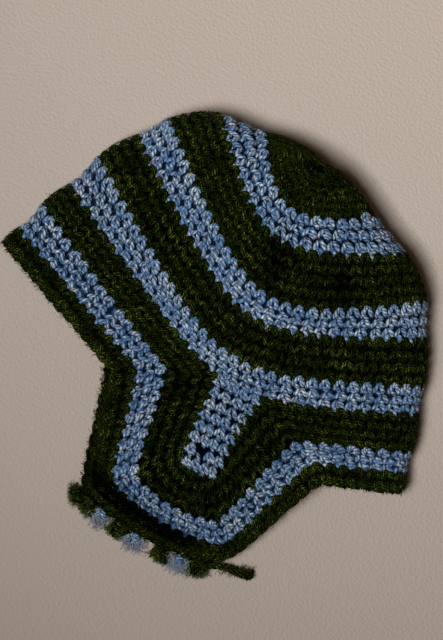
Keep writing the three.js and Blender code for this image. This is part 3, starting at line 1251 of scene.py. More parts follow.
@dataclass
class CrochetBand:
    """A band of rounds in one yarn, worked over its solid's place."""

    plan: BandPlan
    following: BandPlan | None
    form: HatForm
    crocheter: Crocheter
    backing: Backing = Backing(2.6, 0.6, 0.45)
    backing_columns: int = 220
    loose_loop_at: tuple[float, float] = (35.6, 94.4)
    loose_loop_part: tuple[float, float] = (0.02, 0.48)
    loose_loop_steps: int = 400
    start_stitches: int = 6
    start_top: float = 0.01
    start_height: float = 0.14
    fewest_stitches: int = 5
    round_shift: float = 0.35
    upper_part: tuple[float, float] = (-0.03, 0.53)
    lower_part: tuple[float, float] = (0.5, 1.0)
    spare_fibres: float = 0.25
    fibre_margin: float = 0.02
    rim_margin: float = 0.16
    inner_rim_from: float = 0.45

    def build(self, materials: list[bpy.types.Material]) -> bpy.types.Object:
        """Works the band and joins its backing, stitches and fibres.

        Args:
            materials: the yarn's strand material and the backing material in painted shade.

        Returns:
            The finished band.
        """
        surface = BandSurface.of(self.form, self.plan)
        pile = MeshPile()
        around = np.arange(self.backing_columns) / self.backing_columns
        self.backing.add(pile, surface, around, np.linspace(0, 1, self.plan.rounds * 2 + 1))
        crocheter = self.crocheter
        for row in range(self.plan.rounds):
            course = self.course(surface, row)
            first = row == 0 and self.plan.node != "crown_top"
            legs = FIRST_ARCH if first else crocheter.stitches.legs
            crocheter.work(pile, surface, legs, course, crocheter.arcs)
            crocheter.work(pile, surface, crocheter.stitches.bar, course, crocheter.bars)
        last = self.course(surface, self.plan.rounds - 1)
        if self.following:
            following = BandSurface.of(self.form, self.following)
            notches = self.next_notches(following, last)
            crocheter.work(pile, surface, TOOTH, notches, crocheter.bars)
        else:
            crocheter.work(pile, surface, RIM_CHAIN, last, crocheter.arcs, depth_shaded=False)
        if self.plan.node == "blue_band_1":
            self.add_loose_loop(pile, surface)
        if self.plan.with_tongue:
            self.work_inside(pile, surface)
        self.add_fibres(pile, surface)
        rest_on_table(pile)
        return pile.to_object(f"crocheted_{self.plan.node}", materials)

    def add_loose_loop(self, pile: MeshPile, surface: BandSurface) -> None:
        """Adds the one slack loop that stands up where the band's round was joined.

        Args:
            pile: the mesh to add to.
            surface: the band's surface.
        """
        u = np.linspace(*self.loose_loop_part, self.loose_loop_steps)
        place, _ = surface.at(u, np.zeros_like(u))
        target = np.array(self.loose_loop_at) - np.array(self.form.centre)
        nearest = u[np.argmin(np.linalg.norm(place[:, :2] - target, axis=1))]
        first = self.course(surface, 0)
        spot = Course(np.array([nearest]), first.width, first.top, first.height)
        self.crocheter.work(pile, surface, LOOSE_LOOP, spot, self.crocheter.arcs, depth_shaded=False)

    def work_inside(self, pile: MeshPile, surface: BandSurface) -> None:
        """Works the bumps of the fabric's inner face, which shows at the mouth and the flaps.

        Args:
            pile: the mesh to add to.
            surface: the band's surface.
        """
        crocheter = self.crocheter
        for row in range(self.plan.rounds):
            course = self.course(surface, row)
            for path in (INNER_BUMP, INNER_LEG):
                crocheter.work(pile, surface, path, course, crocheter.inner, inside=self.form.wall)

    def course(self, surface: BandSurface, row: int) -> Course:
        """The stitches of one round, counted by the stitch pitch.

        Args:
            surface: the band's surface.
            row: the round's number, from 0 at the band's top.

        Returns:
            The round's stitches.
        """
        height = 1 / self.plan.rounds
        if row == 0 and self.plan.node == "crown_top":
            middles = (np.arange(self.start_stitches) + 0.5) / self.start_stitches
            return Course(middles, 1 / self.start_stitches, self.start_top, self.start_height)
        count = self.stitch_count(surface, (row + 0.5) * height)
        middles = (np.arange(count) + self.round_shift * row) / count
        return Course(middles, 1 / count, row * height, height)

    def stitch_count(self, surface: BandSurface, v: float) -> int:
        """How many stitches go round at one height of a band."""
        return max(self.fewest_stitches, round(surface.girth(v) / self.crocheter.pitch))

    def next_notches(self, following: BandSurface, last: Course) -> Course:
        """The notches between the next band's first arches, on this band's last round."""
        count = self.stitch_count(following, 0.5 / self.following.rounds)
        return Course((np.arange(count) + 0.5) / count, 1 / count, last.top, last.height)

    def add_fibres(self, pile: MeshPile, surface: BandSurface) -> None:
        """Teases fibres out of the band, most of them where they show.

        Args:
            pile: the mesh to add to.
            surface: the band's surface.
        """
        crocheter, rounds = self.crocheter, self.plan.rounds
        area = surface.girth(0.5) * rounds * ROUND_HEIGHT
        count = int(area * crocheter.stitches.fibre_density * self.plan.fuzz)
        end = 1 + (self.fibre_margin if self.following else self.rim_margin)
        u = crocheter.rng.uniform(*self.upper_part, count)
        spare = crocheter.rng.random(count) < self.spare_fibres
        u[spare] = crocheter.rng.uniform(0, 1, int(spare.sum()))
        v = crocheter.rng.uniform(-self.fibre_margin, end, count)
        crocheter.tease(pile, surface, np.stack([u, v], -1), rounds)
        if not self.following:
            u = crocheter.rng.uniform(*self.lower_part, count)
            v = crocheter.rng.uniform(self.inner_rim_from, end, count)
            crocheter.tease(pile, surface, np.stack([u, v], -1), rounds, self.form.wall)


@dataclass
class EarTab:
    """The short blue tongue that starts an ear flap, worked in rows across it."""

    node: str
    side: Side
    form: HatForm
    crocheter: Crocheter
    stitches: int = 4
    rows: int = 8
    open_cell: tuple[int, int] = (6, 1)
    sides: tuple[float, float] = (0.02, 0.98)
    backing: Backing = Backing(2.2, 2.1, 0.1)
    backing_columns: int = 9
    backing_rows: int = 17

    def build(self, materials: list[bpy.types.Material]) -> bpy.types.Object:
        """Works the tab and joins its backing and stitches.

        Args:
            materials: the piece's materials, in the order of Slot.

        Returns:
            The finished piece.
        """
        surface = TabSurface(self.form, self.side)
        pile = MeshPile()
        across = np.linspace(0, 1, self.backing_columns)
        self.backing.add(pile, surface, across, np.linspace(0, 1, self.backing_rows))
        crocheter = self.crocheter
        middles = (np.arange(self.stitches) + 0.5) / self.stitches
        for row in range(self.rows):
            open_row, open_stitch = self.open_cell
            legs = np.delete(middles, open_stitch) if row == open_row else middles
            crocheter.work(pile, surface, BLUE_LEGS, self.course(legs, row), crocheter.arcs)
            crocheter.work(pile, surface, BLUE_BAR, self.course(middles, row), crocheter.bars)
            sides = self.course(np.array(self.sides), row)
            crocheter.work(pile, surface, SIDE_TOOTH, sides, crocheter.bars)
        rest_on_table(pile)
        return pile.to_object(f"crocheted_{self.node}", materials)

    def course(self, middles: np.ndarray, row: int) -> Course:
        """The stitches of one row of the tab."""
        return Course(middles, 1 / self.stitches, row / self.rows, 1 / self.rows)


@dataclass(frozen=True)
class TuftPlace:
    """Where a tuft sits along the lower flap's end, where its locks point, and its yarn."""

    x: float
    heading: float
    yarn: Yarn


TUFTS = (
    TuftPlace(-20, 214, Yarn.GREEN),
    TuftPlace(-14, 236, Yarn.GREEN),
    TuftPlace(-6, 252, Yarn.BLUE),
    TuftPlace(4, 262, Yarn.GREEN),
    TuftPlace(15, 268, Yarn.BLUE),
    TuftPlace(30, 272, Yarn.GREEN),
    TuftPlace(40, 280, Yarn.BLUE),
    TuftPlace(49.5, 292, Yarn.GREEN),
)


@dataclass(frozen=True)
class Fray:
    """How many plies or fibres a tuft has and how they lie, in millimetres and degrees."""

    count: int
    length: float
    radius: float
    width: float
    spread: float
    curl: float
    taper: float
    slot: Slot = Slot.STRANDS


FRAYS = {
    Yarn.GREEN: (
        Fray(9, 6.6, 1.35, 2.2, 34.0, 1.8, 0.1),
        Fray(14, 7.6, 0.60, 2.8, 40.0, 2.0, 0.2),
        Fray(230, 9.0, 0.13, 2.8, 42.0, 1.6, 0.3, Slot.FIBRES),
    ),
    Yarn.BLUE: (
        Fray(6, 5.4, 0.75, 2.4, 36.0, 1.8, 0.3),
        Fray(60, 12.0, 0.22, 3.4, 54.0, 3.0, 0.5, Slot.FIBRES),
    ),
}


@dataclass
class Tuft:
    """A short tuft of cut yarn knotted into the end of the lower flap, in millimetres.

    wraps are the shift along the tuft and the radius of each strand round the knot. lengths and
    thicknesses are parts of a fray's own, root is the part of a ply inside the knot, and the
    waves are half turns of its curl and its rise.
    """

    node: str
    place: TuftPlace
    form: HatForm
    bender: StrandBender
    fibres: StrandBender
    rng: np.random.Generator
    knot: float = 2.7
    level: float = 3.0
    seat: float = -0.3
    wraps: tuple[tuple[float, float], ...] = ((-0.9, 1.35), (0.1, 1.55), (1.0, 1.2))
    wrap_radius: float = 1.05
    wrap_turn: float = 1.9 * math.pi
    wrap_slope: float = 0.5
    lengths: tuple[float, float] = (0.55, 1.0)
    thicknesses: tuple[float, float] = (0.6, 1.25)
    lifts: tuple[float, float] = (-2.2, 1.6)
    root: float = 0.12
    rise: float = 0.7
    curl_wave: float = 1.3
    rise_wave: float = 1.7

    def build(self, materials: list[bpy.types.Material]) -> bpy.types.Object:
        """Makes the knot's wraps, the soft curled plies and the fine frayed fibres.

        Args:
            materials: the piece's materials, in the order of Slot.

        Returns:
            The finished piece.
        """
        pile = MeshPile()
        centre = self.knot_centre()
        self.add_knot(pile, centre)
        for fray in FRAYS[self.place.yarn]:
            self.add_plies(pile, centre, fray)
        rest_on_table(pile)
        return pile.to_object(f"frayed_{self.node}", materials)

    def knot_centre(self) -> np.ndarray:
        """Where the knot sits against the lower flap's end.

        Returns:
            The place in the hat's own origin.
        """
        line = self.form.outline(EDGES["edge9"], Side.LOWER, TONGUES["edge9"])
        index = int(np.searchsorted(line.x, self.place.x))
        head = unit(np.array([np.diff(line.x)[index - 1], np.diff(line.y)[index - 1]]))
        reach = self.knot + self.seat
        x = line.x[index] + head[1] * reach - self.form.centre[0]
        y = line.y[index] - head[0] * reach - self.form.centre[1]
        return np.array([x, y, self.level])

    def add_knot(self, pile: MeshPile, centre: np.ndarray) -> None:
        """Adds the strands that wrap the knot.

        Args:
            pile: the mesh to add to.
            centre: the knot's middle.
        """
        rings = self.bender.rings
        turn = np.linspace(0, self.wrap_turn, rings)[:, None]
        heading = math.radians(self.place.heading)
        ahead = np.array([math.cos(heading), math.sin(heading), 0.0])
        ring = np.cos(turn) * np.cross(UP, ahead) + np.sin(turn) * UP
        slope = self.wrap_slope * np.sin(turn + 1)
        lines = np.array([centre + ring * size + ahead * (shift + slope) for shift, size in self.wraps])
        radius = np.full((len(lines), rings), self.wrap_radius)
        self.bender.lay(pile, lines, unit(lines - centre), radius)

    def add_plies(self, pile: MeshPile, centre: np.ndarray, fray: Fray) -> None:
        """Adds cut plies or fibres that fan out from the knot.

        Args:
            pile: where they go.
            centre: the knot's middle.
            fray: how many there are and how they lie.
        """
        rings, count = self.bender.rings, fray.count
        part = np.linspace(0, 1, rings)[None, :, None]
        turn = np.radians(self.place.heading + self.rng.uniform(-fray.spread, fray.spread, count))
        length = fray.length * self.rng.uniform(*self.lengths, count)[:, None, None]
        ahead = np.stack([np.cos(turn), np.sin(turn), np.zeros(count)], -1)[:, None]
        across = np.stack([-np.sin(turn), np.cos(turn), np.zeros(count)], -1)[:, None]
        middle = math.radians(self.place.heading)
        edge = np.array([-math.sin(middle), math.cos(middle), 0.0])
        roots = centre + edge * self.rng.uniform(-fray.width, fray.width, (count, 1))
        lift = self.rng.uniform(*self.lifts, count)[:, None, None] * part
        curl = self.rng.normal(0, fray.curl, count)[:, None, None]
        rise = self.rng.normal(0, self.rise, count)[:, None, None]
        lines = roots[:, None] + ahead * (part - self.root) * length
        lines = lines + across * curl * np.sin(part * math.pi * self.curl_wave)
        lines = lines + UP * (lift + rise * np.sin(part * math.pi * self.rise_wave))
        outs = np.broadcast_to(UP, lines.shape)
        radius = fray.radius * (1 - fray.taper * np.linspace(0, 1, rings)[None] ** 2)
        radius = radius * self.rng.uniform(*self.thicknesses, (count, 1))
        if fray.slot is Slot.STRANDS:
            self.bender.lay(pile, lines, outs, radius)
            return
        keep = np.linspace(0, rings - 1, self.fibres.rings).round().astype(int)
        self.fibres.lay(pile, lines[:, keep], outs[:, keep], radius[:, keep], fray.slot)


@dataclass
class YarnTail:
    """The short twisted end of the working yarn by the flap's corner, in millimetres.

    Its plies are laid in sections that overlap a little. sway bends the whole tail, spread is
    how far the plies stand from its middle and opening how much they open at the cut end.
    """

    form: HatForm
    bender: StrandBender
    fibres: StrandBender
    rng: np.random.Generator
    start: tuple[float, float] = (54.8, -104.4)
    end: tuple[float, float] = (76.5, -96.8)
    level: float = 2.9
    plies: int = 3
    ply_radius: float = 1.1
    twist: float = 2.6
    sections: int = 3
    overlap: float = 1.12
    furthest: float = 1.04
    sway: float = 0.9
    sway_wave: float = 1.6
    spread: float = 0.9
    opening: float = 0.8
    fullness: tuple[float, float] = (0.9, 0.35)
    fuzz: int = 260
    fuzz_root: float = 1.6
    fuzz_radius: float = 0.10
    fuzz_lengths: tuple[float, float] = (1.0, 3.0)
    fuzz_places: tuple[float, float] = (2.2, 1.0)
    fuzz_slope: tuple[float, float] = (0.3, 0.6)

    def build(self, materials: list[bpy.types.Material]) -> bpy.types.Object:
        """Twists the plies along the tail, looser and fuller towards the cut end.

        Args:
            materials: the piece's materials, in the order of Slot.

        Returns:
            The finished piece.
        """
        part = np.linspace(0, 1, self.bender.rings)[:, None]
        start, end, _, across = self.way()
        slim, gain = self.fullness
        pile = MeshPile()
        for ply in range(self.plies):
            for section in range(self.sections):
                along = (section + part * self.overlap) / self.sections
                turn = 2 * math.pi * (along * self.twist + ply / self.plies)
                sway = self.sway * np.sin(along * math.pi * self.sway_wave)
                outs = np.cos(turn) * across + np.sin(turn) * UP
                line = start + (end - start) * np.minimum(along, self.furthest)
                line = line + across * sway + outs * (self.spread + self.opening * along**2)
                radius = self.ply_radius * (slim + gain * along)
                self.bender.lay(pile, line[None], outs[None], radius.T)
        self.add_fuzz(pile)
        rest_on_table(pile)
        return pile.to_object("twisted_yarn_tail", materials)

    def way(self) -> tuple[np.ndarray, np.ndarray, np.ndarray, np.ndarray]:
        """The tail's two ends and its directions along and across, in the hat's own origin.

        Returns:
            The start, the end, the way along and the way across.
        """
        centre = np.array([*self.form.centre, -self.level])
        start, end = np.array([*self.start, 0]) - centre, np.array([*self.end, 0]) - centre
        ahead = unit(end - start)
        return start, end, ahead, np.cross(UP, ahead)

    def add_fuzz(self, pile: MeshPile) -> None:
        """Adds the fine fibres that stand off the tail, most of them at its cut end.

        Args:
            pile: the mesh to add to.
        """
        start, end, ahead, across = self.way()
        rings = self.fibres.rings
        part = np.linspace(0, 1, rings)[None, :, None]
        place = self.rng.beta(*self.fuzz_places, self.fuzz)[:, None]
        turn = self.rng.uniform(0, 2 * math.pi, self.fuzz)[:, None]
        outward = np.cos(turn) * across + np.sin(turn) * UP
        roots = start + (end - start) * place + outward * self.fuzz_root
        slope = self.rng.normal(*self.fuzz_slope, self.fuzz)[:, None]
        heading = outward + ahead * slope
        length = self.rng.uniform(*self.fuzz_lengths, self.fuzz)[:, None, None]
        lines = roots[:, None] + heading[:, None] * part * length
        outs = np.broadcast_to(outward[:, None], lines.shape)
        radius = np.full((self.fuzz, rings), self.fuzz_radius)
        self.fibres.lay(pile, lines, outs, radius, Slot.FIBRES)


Colour = tuple[float, float, float]
Input = bpy.types.NodeSocket | float | Colour


class NodeMaker:
    """Adds and links shader nodes in one tree.

    A mix node has sockets for every kind of value. mix_sockets and mix_result are the numbers of
    those for colours.
    """

    mix_sockets = (6, 7)
    mix_result = 2

    def __init__(self, tree: bpy.types.NodeTree) -> None:
        """Keeps the tree to build in."""
        self.tree = tree

    def add(self, kind: str, inputs: dict | None = None, **settings: object) -> bpy.types.Node:
        """Adds a node.

        Args:
            kind: the node's type name.
            inputs: socket names or numbers with values, or sockets to link from.
            settings: properties of the node.

        Returns:
            The new node.
        """
        node = self.tree.nodes.new(kind)
        for name, value in settings.items():
            setattr(node, name, value)
        for name, value in (inputs or {}).items():
            if isinstance(value, bpy.types.NodeSocket):
                self.tree.links.new(value, node.inputs[name])
            else:
                node.inputs[name].default_value = value
        return node

    def math(self, operation: str, first: Input, second: Input = 0.0) -> bpy.types.NodeSocket:
        """Adds a Math node and returns its result."""
        sockets = {0: first, 1: second}
        return self.add("ShaderNodeMath", sockets, operation=operation).outputs[0]

    def mix(self, factor: Input, first: Input, second: Input) -> bpy.types.NodeSocket:
        """Adds a colour mix and returns its result."""
        from_socket, to_socket = self.mix_sockets
        sockets = {0: factor, from_socket: self.colour(first), to_socket: self.colour(second)}
        return self.add("ShaderNodeMix", sockets, data_type="RGBA").outputs[self.mix_result]

    def noise(self, place: Input, scale: Input, detail: float) -> bpy.types.NodeSocket:
        """Adds a noise and returns its value."""
        sockets = {"Vector": place, "Scale": scale, "Detail": detail}
        return self.add("ShaderNodeTexNoise", sockets).outputs[0]

    def bump(self, height: Input, strength: float, distance: float) -> bpy.types.NodeSocket:
        """Adds a bump and returns its normal."""
        sockets = {"Height": height, "Strength": strength, "Distance": distance}
        return self.add("ShaderNodeBump", sockets).outputs[0]

    def ramp(self, value: Input, low: float, high: float) -> bpy.types.NodeSocket:
        """Adds a smooth step from 0 at low to 1 at high."""
        sockets = {"Value": value, "From Min": low, "From Max": high}
        return self.add("ShaderNodeMapRange", sockets, interpolation_type="SMOOTHSTEP").outputs[0]

    def place(self) -> bpy.types.NodeSocket:
        """Adds the place on the piece in its own coordinates."""
        return self.add("ShaderNodeTexCoord").outputs["Object"]

    def tone_and_shade(self) -> bpy.types.NodeSocket:
        """Adds each point's own tone times its painted shade, as each mesh stores it."""
        return self.add("ShaderNodeAttribute", attribute_name="ToneAndPaintedShade").outputs["Fac"]

    def surface(self, colour: Input, normal: Input, roughness: float, gloss: float = 0.5) -> None:
        """Adds the surface shader and the material's output.

        Args:
            colour: the base colour.
            normal: the normal.
            roughness: the roughness.
            gloss: the specular level.
        """
        sockets = {"Base Color": self.colour(colour), "Normal": normal, "Roughness": roughness}
        shader = self.add("ShaderNodeBsdfPrincipled", {**sockets, "Specular IOR Level": gloss})
        self.add("ShaderNodeOutputMaterial", {"Surface": shader.outputs[0]})

    @staticmethod
    def colour(value: Input) -> Input:
        """The value with full alpha where it is a plain colour."""
        return value if isinstance(value, bpy.types.NodeSocket) else (*value, 1.0)


def empty_material(name: str) -> tuple[bpy.types.Material, NodeMaker]:
    """Adds a material with no nodes.

    Args:
        name: the material's name.

    Returns:
        The material and the maker of its nodes.
    """
    material = bpy.data.materials.new(name)
    material.use_nodes = True
    material.node_tree.nodes.clear()
    return material, NodeMaker(material.node_tree)


class ShaderGroup:
    """A shader group with named inputs and outputs that several materials share."""

    name = ""
    inputs: dict[str, float] = {}
    outputs: tuple[str, ...] = ()

    @classmethod
    def node(cls, make: NodeMaker, values: dict[str, float]) -> bpy.types.Node:
        """Places the group in a material, and builds it on first use.

        Args:
            make: the maker of the material's nodes.
            values: the group's inputs for this material.

        Returns:
            The group's node.
        """
        tree = bpy.data.node_groups.get(cls.name) or cls.build()
        return make.add("ShaderNodeGroup", values, node_tree=tree)

    @classmethod
    def build(cls) -> bpy.types.NodeTree:
        """Builds the group's sockets and nodes.

        Returns:
            The group's node tree.
        """
        tree = bpy.data.node_groups.new(cls.name, "ShaderNodeTree")
        for name, start in cls.inputs.items():
            made = tree.interface.new_socket(name=name, in_out="INPUT", socket_type="NodeSocketFloat")
            made.default_value = start
        for name in cls.outputs:
            tree.interface.new_socket(name=name, in_out="OUTPUT", socket_type="NodeSocketFloat")
        make = NodeMaker(tree)
        results = cls.fill(make, make.add("NodeGroupInput").outputs)
        make.add("NodeGroupOutput", dict(zip(cls.outputs, results, strict=True)))
        return tree

    @classmethod
    def fill(cls, make: NodeMaker, given: bpy.types.NodeOutputs) -> tuple[bpy.types.NodeSocket, ...]:
        """Adds the group's own nodes and returns its results in the order of its outputs."""
        raise NotImplementedError


class YarnTwist(ShaderGroup):
    """A yarn's plies and fibres along its strands, from the UV map that each strand carries."""

    name = "yarn_twist"
    inputs = {"Plies": 3.0, "Fibre Scale": 30.0, "Fibre Amount": 0.5}
    outputs = ("Groove", "Fibre", "Height")
    twist = -4.2
    sway_scale = 2.6
    sway = 0.9
    roundness = 0.9
    fibre_slant = 0.8
    fibre_stretch = 0.25

    @classmethod
    def fill(cls, make: NodeMaker, given: bpy.types.NodeOutputs) -> tuple[bpy.types.NodeSocket, ...]:
        """Adds the twisted plies, the fibres across them and the height of both.

        Args:
            make: the maker of the group's nodes.
            given: the group's inputs.

        Returns:
            The groove, the fibre and the height.
        """
        uv = make.add("ShaderNodeUVMap", uv_map="Yarn").outputs[0]
        along, around, _ = make.add("ShaderNodeSeparateXYZ", {0: uv}).outputs
        sway = make.math("MULTIPLY", make.noise(uv, cls.sway_scale, 1.0), cls.sway)
        turn = make.math("MULTIPLY", around, given["Plies"])
        turn = make.math("ADD", turn, make.math("MULTIPLY", along, cls.twist))
        turn = make.math("ADD", turn, sway)
        wave = make.math("ABSOLUTE", make.math("SINE", make.math("MULTIPLY", turn, math.pi)))
        groove = make.math("POWER", wave, cls.roundness)
        slant = make.math("ADD", around, make.math("MULTIPLY", along, cls.fibre_slant))
        stretched = make.math("MULTIPLY", along, cls.fibre_stretch)
        spot = make.add("ShaderNodeCombineXYZ", {0: stretched, 1: slant}).outputs[0]
        fibre = make.noise(spot, given["Fibre Scale"], 2.0)
        lift = make.math("MULTIPLY", fibre, given["Fibre Amount"])
        return groove, fibre, make.math("ADD", groove, lift)


class ToneDrift(ShaderGroup):
    """Slow and patchy changes of tone over the whole hat."""

    name = "tone_drift"
    inputs = {"Scale": 60.0}
    outputs = ("Tone",)

    @classmethod
    def fill(cls, make: NodeMaker, given: bpy.types.NodeOutputs) -> tuple[bpy.types.NodeSocket, ...]:
        """Adds the noise that the tone follows."""
        return (make.noise(make.place(), given["Scale"], 3.0),)


@dataclass(frozen=True)
class YarnFinish:
    """How one yarn looks, from its plies in painted shade over its body to painted highlights along its
    fibres.

    streaks are the levels of the pattern at which shade, body and light are reached: shade is painted
    shade in the grooves between the plies, body the yarn's own colour and light a painted highlight.
    painted_deep_shade is the painted shade between the stitches. groove_level is the level that is left
    in a groove.
    """

    name: str
    shade: Colour
    body: Colour
    light: Colour
    painted_deep_shade: Colour
    streaks: tuple[float, float, float]
    roughness: float
    gloss: float
    plies: float
    fibre_scale: float
    bump: float
    bump_distance: float = 0.0006
    groove_level: float = 0.34
    drift_scale: float = 90.0

    def material(self) -> bpy.types.Material:
        """Builds the yarn's material.

        Returns:
            The material.
        """
        material, make = empty_material(self.name)
        twist = YarnTwist.node(make, {"Plies": self.plies, "Fibre Scale": self.fibre_scale}).outputs
        tone = ToneDrift.node(make, {"Scale": self.drift_scale}).outputs["Tone"]
        # Painted shade in the grooves between the plies.
        shaded = make.math("MULTIPLY", twist["Groove"], 1 - self.groove_level)
        shaded = make.math("ADD", shaded, self.groove_level)
        blend = make.math("MULTIPLY", shaded, twist["Fibre"])
        blend = make.math("MULTIPLY", blend, make.math("ADD", tone, 0.5))
        low, middle, high = self.streaks
        # From painted shade to the yarn's own colour, then to painted highlights.
        colour = make.mix(make.ramp(blend, low, middle), self.shade, self.body)
        colour = make.mix(make.ramp(blend, middle, high), colour, self.light)
        # Painted shade between the stitches, from each mesh's stored tone and shade.
        colour = make.mix(make.tone_and_shade(), self.painted_deep_shade, colour)
        normal = make.bump(twist["Height"], self.bump, self.bump_distance)
        make.surface(colour, normal, self.roughness, self.gloss)
        return material


# In both yarns shade and light are painted shade and painted highlights, body is the yarn's own colour.
GREEN_STRANDS = YarnFinish(
    name="olive_yarn",
    shade=(0.0005, 0.0018, 0.0001),
    body=(0.0090, 0.0205, 0.0014),
    light=(0.195, 0.270, 0.042),
    painted_deep_shade=(0.0001, 0.0003, 0.0),
    streaks=(0.20, 0.42, 0.74),
    roughness=0.8,
    gloss=0.04,
    plies=6.0,
    fibre_scale=9.0,
    bump=1.0,
)
BLUE_STRANDS = YarnFinish(
    name="sky_blue_yarn",
    shade=(0.072, 0.205, 0.48),
    body=(0.205, 0.380, 0.66),
    light=(0.90, 0.98, 1.0),
    painted_deep_shade=(0.008, 0.050, 0.150),
    streaks=(0.15, 0.40, 0.64),
    roughness=0.36,
    gloss=0.45,
    plies=4.0,
    fibre_scale=6.0,
    bump=0.8,
)


@dataclass(frozen=True)
class PlainFinish:
    """Matt yarn without visible plies, for the fabric behind the stitches and for loose fibres.

    Its colour goes from shade to light with a fine drift of tone, and towards black with the painted shade
    that each mesh stores.
    """

    name: str
    shade: Colour
    light: Colour
    drift_scale: float = 400.0
    roughness: float = 0.95
    bump: float = 0.8
    bump_distance: float = 0.001

    def material(self) -> bpy.types.Material:
        """Builds the material.

        Returns:
            The material.
        """
        material, make = empty_material(self.name)
        tone = ToneDrift.node(make, {"Scale": self.drift_scale}).outputs["Tone"]
        colour = make.mix(tone, self.shade, self.light)
        # Painted shade: towards black where the stored shade is low.
        colour = make.mix(make.tone_and_shade(), (0.0, 0.0, 0.0), colour)
        normal = make.bump(tone, self.bump, self.bump_distance)
        make.surface(colour, normal, self.roughness, 0.0)
        return material


# The backings are far darker than their yarns: painted shade in the holes between the stitches.
GREEN_BACKING_IN_SHADE = PlainFinish("olive_backing_in_shade", (0.0008, 0.0010, 0.0002), (0.003, 0.004, 0.0008))
BLUE_BACKING_IN_SHADE = PlainFinish("blue_backing_in_shade", (0.004, 0.020, 0.050), (0.012, 0.045, 0.110))
GREEN_WISPS = PlainFinish("olive_wisps", (0.018, 0.034, 0.003), (0.165, 0.220, 0.036))
GREEN_FIBRES = PlainFinish("olive_fibres", (0.004, 0.010, 0.0006), (0.090, 0.135, 0.018))
BLUE_FIBRES = PlainFinish("blue_fibres", (0.26, 0.38, 0.54), (0.60, 0.70, 0.82))


def photo_direction(right: float, up: float) -> Vector:
    """Turns a direction of the photograph's plane into the hat's frame."""
    return Matrix.Rotation(VIEW_TURN, 3, "Z") @ Vector((right, up, 0.0))


@dataclass
class Studio:
    """The pale table, the soft light from the left and the camera above, in metres.

    key_place and key_aim are given in the photograph's plane, to the right and up.
    """

    millimetres_per_pixel: float = 0.52
    camera_height: float = 1.1
    focus_height: float = 0.015
    sensor: float = 24.0
    clip_start: float = 0.01
    look_at: tuple[float, float] = (-0.0037, 0.01562)
    table_size: float = 3.0
    table_colour: Colour = (0.66, 0.58, 0.52)
    table_roughness: float = 0.6
    grain_scale: float = 620.0
    grain_detail: float = 4.0
    grain_strength: float = 0.8
    grain_depth: float = 0.0007
    key_place: tuple[float, float] = (-0.48, -0.14)
    key_height: float = 1.5
    key_aim: tuple[float, float] = (0.31, 0.40)
    key_size: float = 0.6
    key_energy: float = 3.45
    key_spread: float = 65.0
    key_colour: Colour = (1.0, 0.96, 0.92)
    room_colour: Colour = (1.0, 0.66, 0.36)
    room_strength: float = 0.045

    def build(self) -> None:
        """Makes the table, lights, world and camera."""
        self.add_table()
        self.add_key_light()
        self.add_room_light()
        self.add_camera()

    def add_table(self) -> None:
        """Adds the smooth pale table top."""
        bpy.ops.object.select_all(action="DESELECT")
        bpy.ops.mesh.primitive_plane_add(size=self.table_size, location=(0, 0, 0))
        table = bpy.context.active_object
        table.name = "table_top"
        material, make = empty_material("pale_table")
        grain = make.noise(make.place(), self.grain_scale, self.grain_detail)
        normal = make.bump(grain, self.grain_strength, self.grain_depth)
        make.surface(self.table_colour, normal, self.table_roughness)
        table.data.materials.append(material)
        table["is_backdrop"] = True

    def add_key_light(self) -> None:
        """Adds the square light that stands above the left side and leans over the hat."""
        data = bpy.data.lights.new("key", "AREA")
        data.size = self.key_size
        data.energy = self.key_energy
        data.spread = math.radians(self.key_spread)
        data.color = self.key_colour
        lamp = bpy.data.objects.new("key", data)
        bpy.context.scene.collection.objects.link(lamp)
        lamp.location = photo_direction(*self.key_place) + Vector((0, 0, self.key_height))
        aim = photo_direction(*self.key_aim) - lamp.location
        lamp.rotation_euler = aim.to_track_quat("-Z", "Y").to_euler()

    def add_room_light(self) -> None:
        """Adds the faint warm light of the room from all sides."""
        world = bpy.data.worlds.new("soft_room")
        bpy.context.scene.world = world
        world.use_nodes = True
        background = world.node_tree.nodes["Background"]
        background.inputs[0].default_value = (*self.room_colour, 1.0)
        background.inputs[1].default_value = self.room_strength

    def add_camera(self) -> None:
        """Adds the camera straight above, turned as the photograph is."""
        data = bpy.data.cameras.new("overhead")
        camera = bpy.data.objects.new("overhead", data)
        bpy.context.scene.collection.objects.link(camera)
        camera.location = (self.look_at[0], self.look_at[1], self.camera_height)
        camera.rotation_euler = (0.0, 0.0, VIEW_TURN)
        tall = PHOTO_HEIGHT * self.millimetres_per_pixel * MM
        data.sensor_fit = "VERTICAL"
        data.sensor_height = self.sensor
        data.lens = self.sensor * (self.camera_height - self.focus_height) / tall
        data.clip_start = self.clip_start
        bpy.context.scene.camera = camera


def show_bounds(name: str) -> list[list[float]]:
    """The whole object's box as plain lists.

    Args:
        name: what the box is of, for the log.

    Returns:
        The lowest and the highest corner.
    """
    low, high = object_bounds()
    LOG.info("%s box %s %s", name, list(low), list(high))
    return [list(low), list(high)]


def claim(piece: bpy.types.Object, node: str) -> None:
    """Hands a finished piece over in place of its solid.

    Args:
        piece: the finished piece.
        node: the solid's node.
    """
    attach(piece, "root")
    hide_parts(node)
    LOG.info("%s: %d faces", piece.name, len(piece.data.polygons))


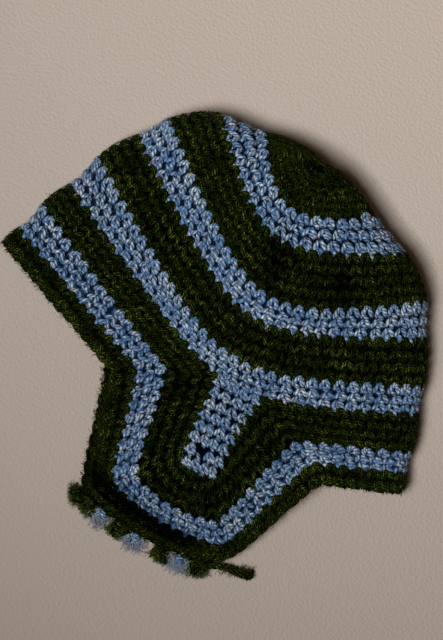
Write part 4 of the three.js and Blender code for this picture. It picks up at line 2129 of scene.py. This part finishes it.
@dataclass
class Workshop:
    """The yarns, strands and tools that the hat's pieces are made with."""

    form: HatForm
    rng: np.random.Generator
    strand_shapes: tuple[tuple[int, int], ...] = ((7, 9), (6, 6), (5, 5), (3, 2))
    wisp_shape: tuple[int, int] = (3, 5)

    def __post_init__(self) -> None:
        """Sets up the crocheters, the loose wisps and the materials of both yarns."""
        shapes = [StrandTemplate(*size) for size in self.strand_shapes]
        self.crocheters = {}
        for yarn, stitches in STITCHES.items():
            benders = [StrandBender(shape, self.rng, stitches.hollow_depth) for shape in shapes]
            self.crocheters[yarn] = Crocheter(*benders, stitches, self.rng)
        wisp = StrandTemplate(*self.wisp_shape)
        self.wisps = StrandBender(wisp, self.rng, STITCHES[Yarn.BLUE].hollow_depth)
        self.yarns = {
            Yarn.GREEN: [finish.material() for finish in (GREEN_STRANDS, GREEN_BACKING_IN_SHADE, GREEN_FIBRES)],
            Yarn.BLUE: [finish.material() for finish in (BLUE_STRANDS, BLUE_BACKING_IN_SHADE, BLUE_FIBRES)],
        }
        frayed_green = [*self.yarns[Yarn.GREEN][: Slot.FIBRES], GREEN_WISPS.material()]
        self.frayed = {Yarn.GREEN: frayed_green, Yarn.BLUE: self.yarns[Yarn.BLUE]}

    def make_bands(self) -> None:
        """Works the bands from the crown to the brim."""
        for plan, following in zip(BANDS, (*BANDS[1:], None), strict=True):
            band = CrochetBand(plan, following, self.form, self.crocheters[plan.yarn])
            claim(band.build(self.yarns[plan.yarn]), plan.node)

    def make_tabs(self) -> None:
        """Works the tongues that start the two ear flaps."""
        for node, side in (("ear_tab_upper", Side.UPPER), ("ear_tab_lower", Side.LOWER)):
            tab = EarTab(node, side, self.form, self.crocheters[Yarn.BLUE])
            claim(tab.build(self.yarns[Yarn.BLUE]), node)

    def make_tufts(self) -> None:
        """Ties the tufts along the end of the lower flap."""
        for index, place in enumerate(TUFTS, 1):
            node = f"tuft_{index}"
            bender = self.crocheters[place.yarn].arcs
            tuft = Tuft(node, place, self.form, bender, self.wisps, self.rng)
            claim(tuft.build(self.frayed[place.yarn]), node)

    def make_tail(self) -> None:
        """Twists the short end of the working yarn."""
        tail = YarnTail(self.form, self.crocheters[Yarn.GREEN].arcs, self.wisps, self.rng)
        claim(tail.build(self.frayed[Yarn.GREEN]), "yarn_tail")


def main() -> None:
    """Builds the hat and its setting in order."""
    logging.basicConfig(level=logging.INFO, format="%(message)s")
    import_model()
    sizes = {"cad": show_bounds("solid")}
    bpy.context.scene.view_settings.view_transform = "Standard"
    Studio().build()
    workshop = Workshop(HatForm(), np.random.default_rng(SEED))
    workshop.make_bands()
    workshop.make_tabs()
    workshop.make_tufts()
    workshop.make_tail()
    sizes["visual"] = show_bounds("visual")


if __name__ == "__main__":
    main()
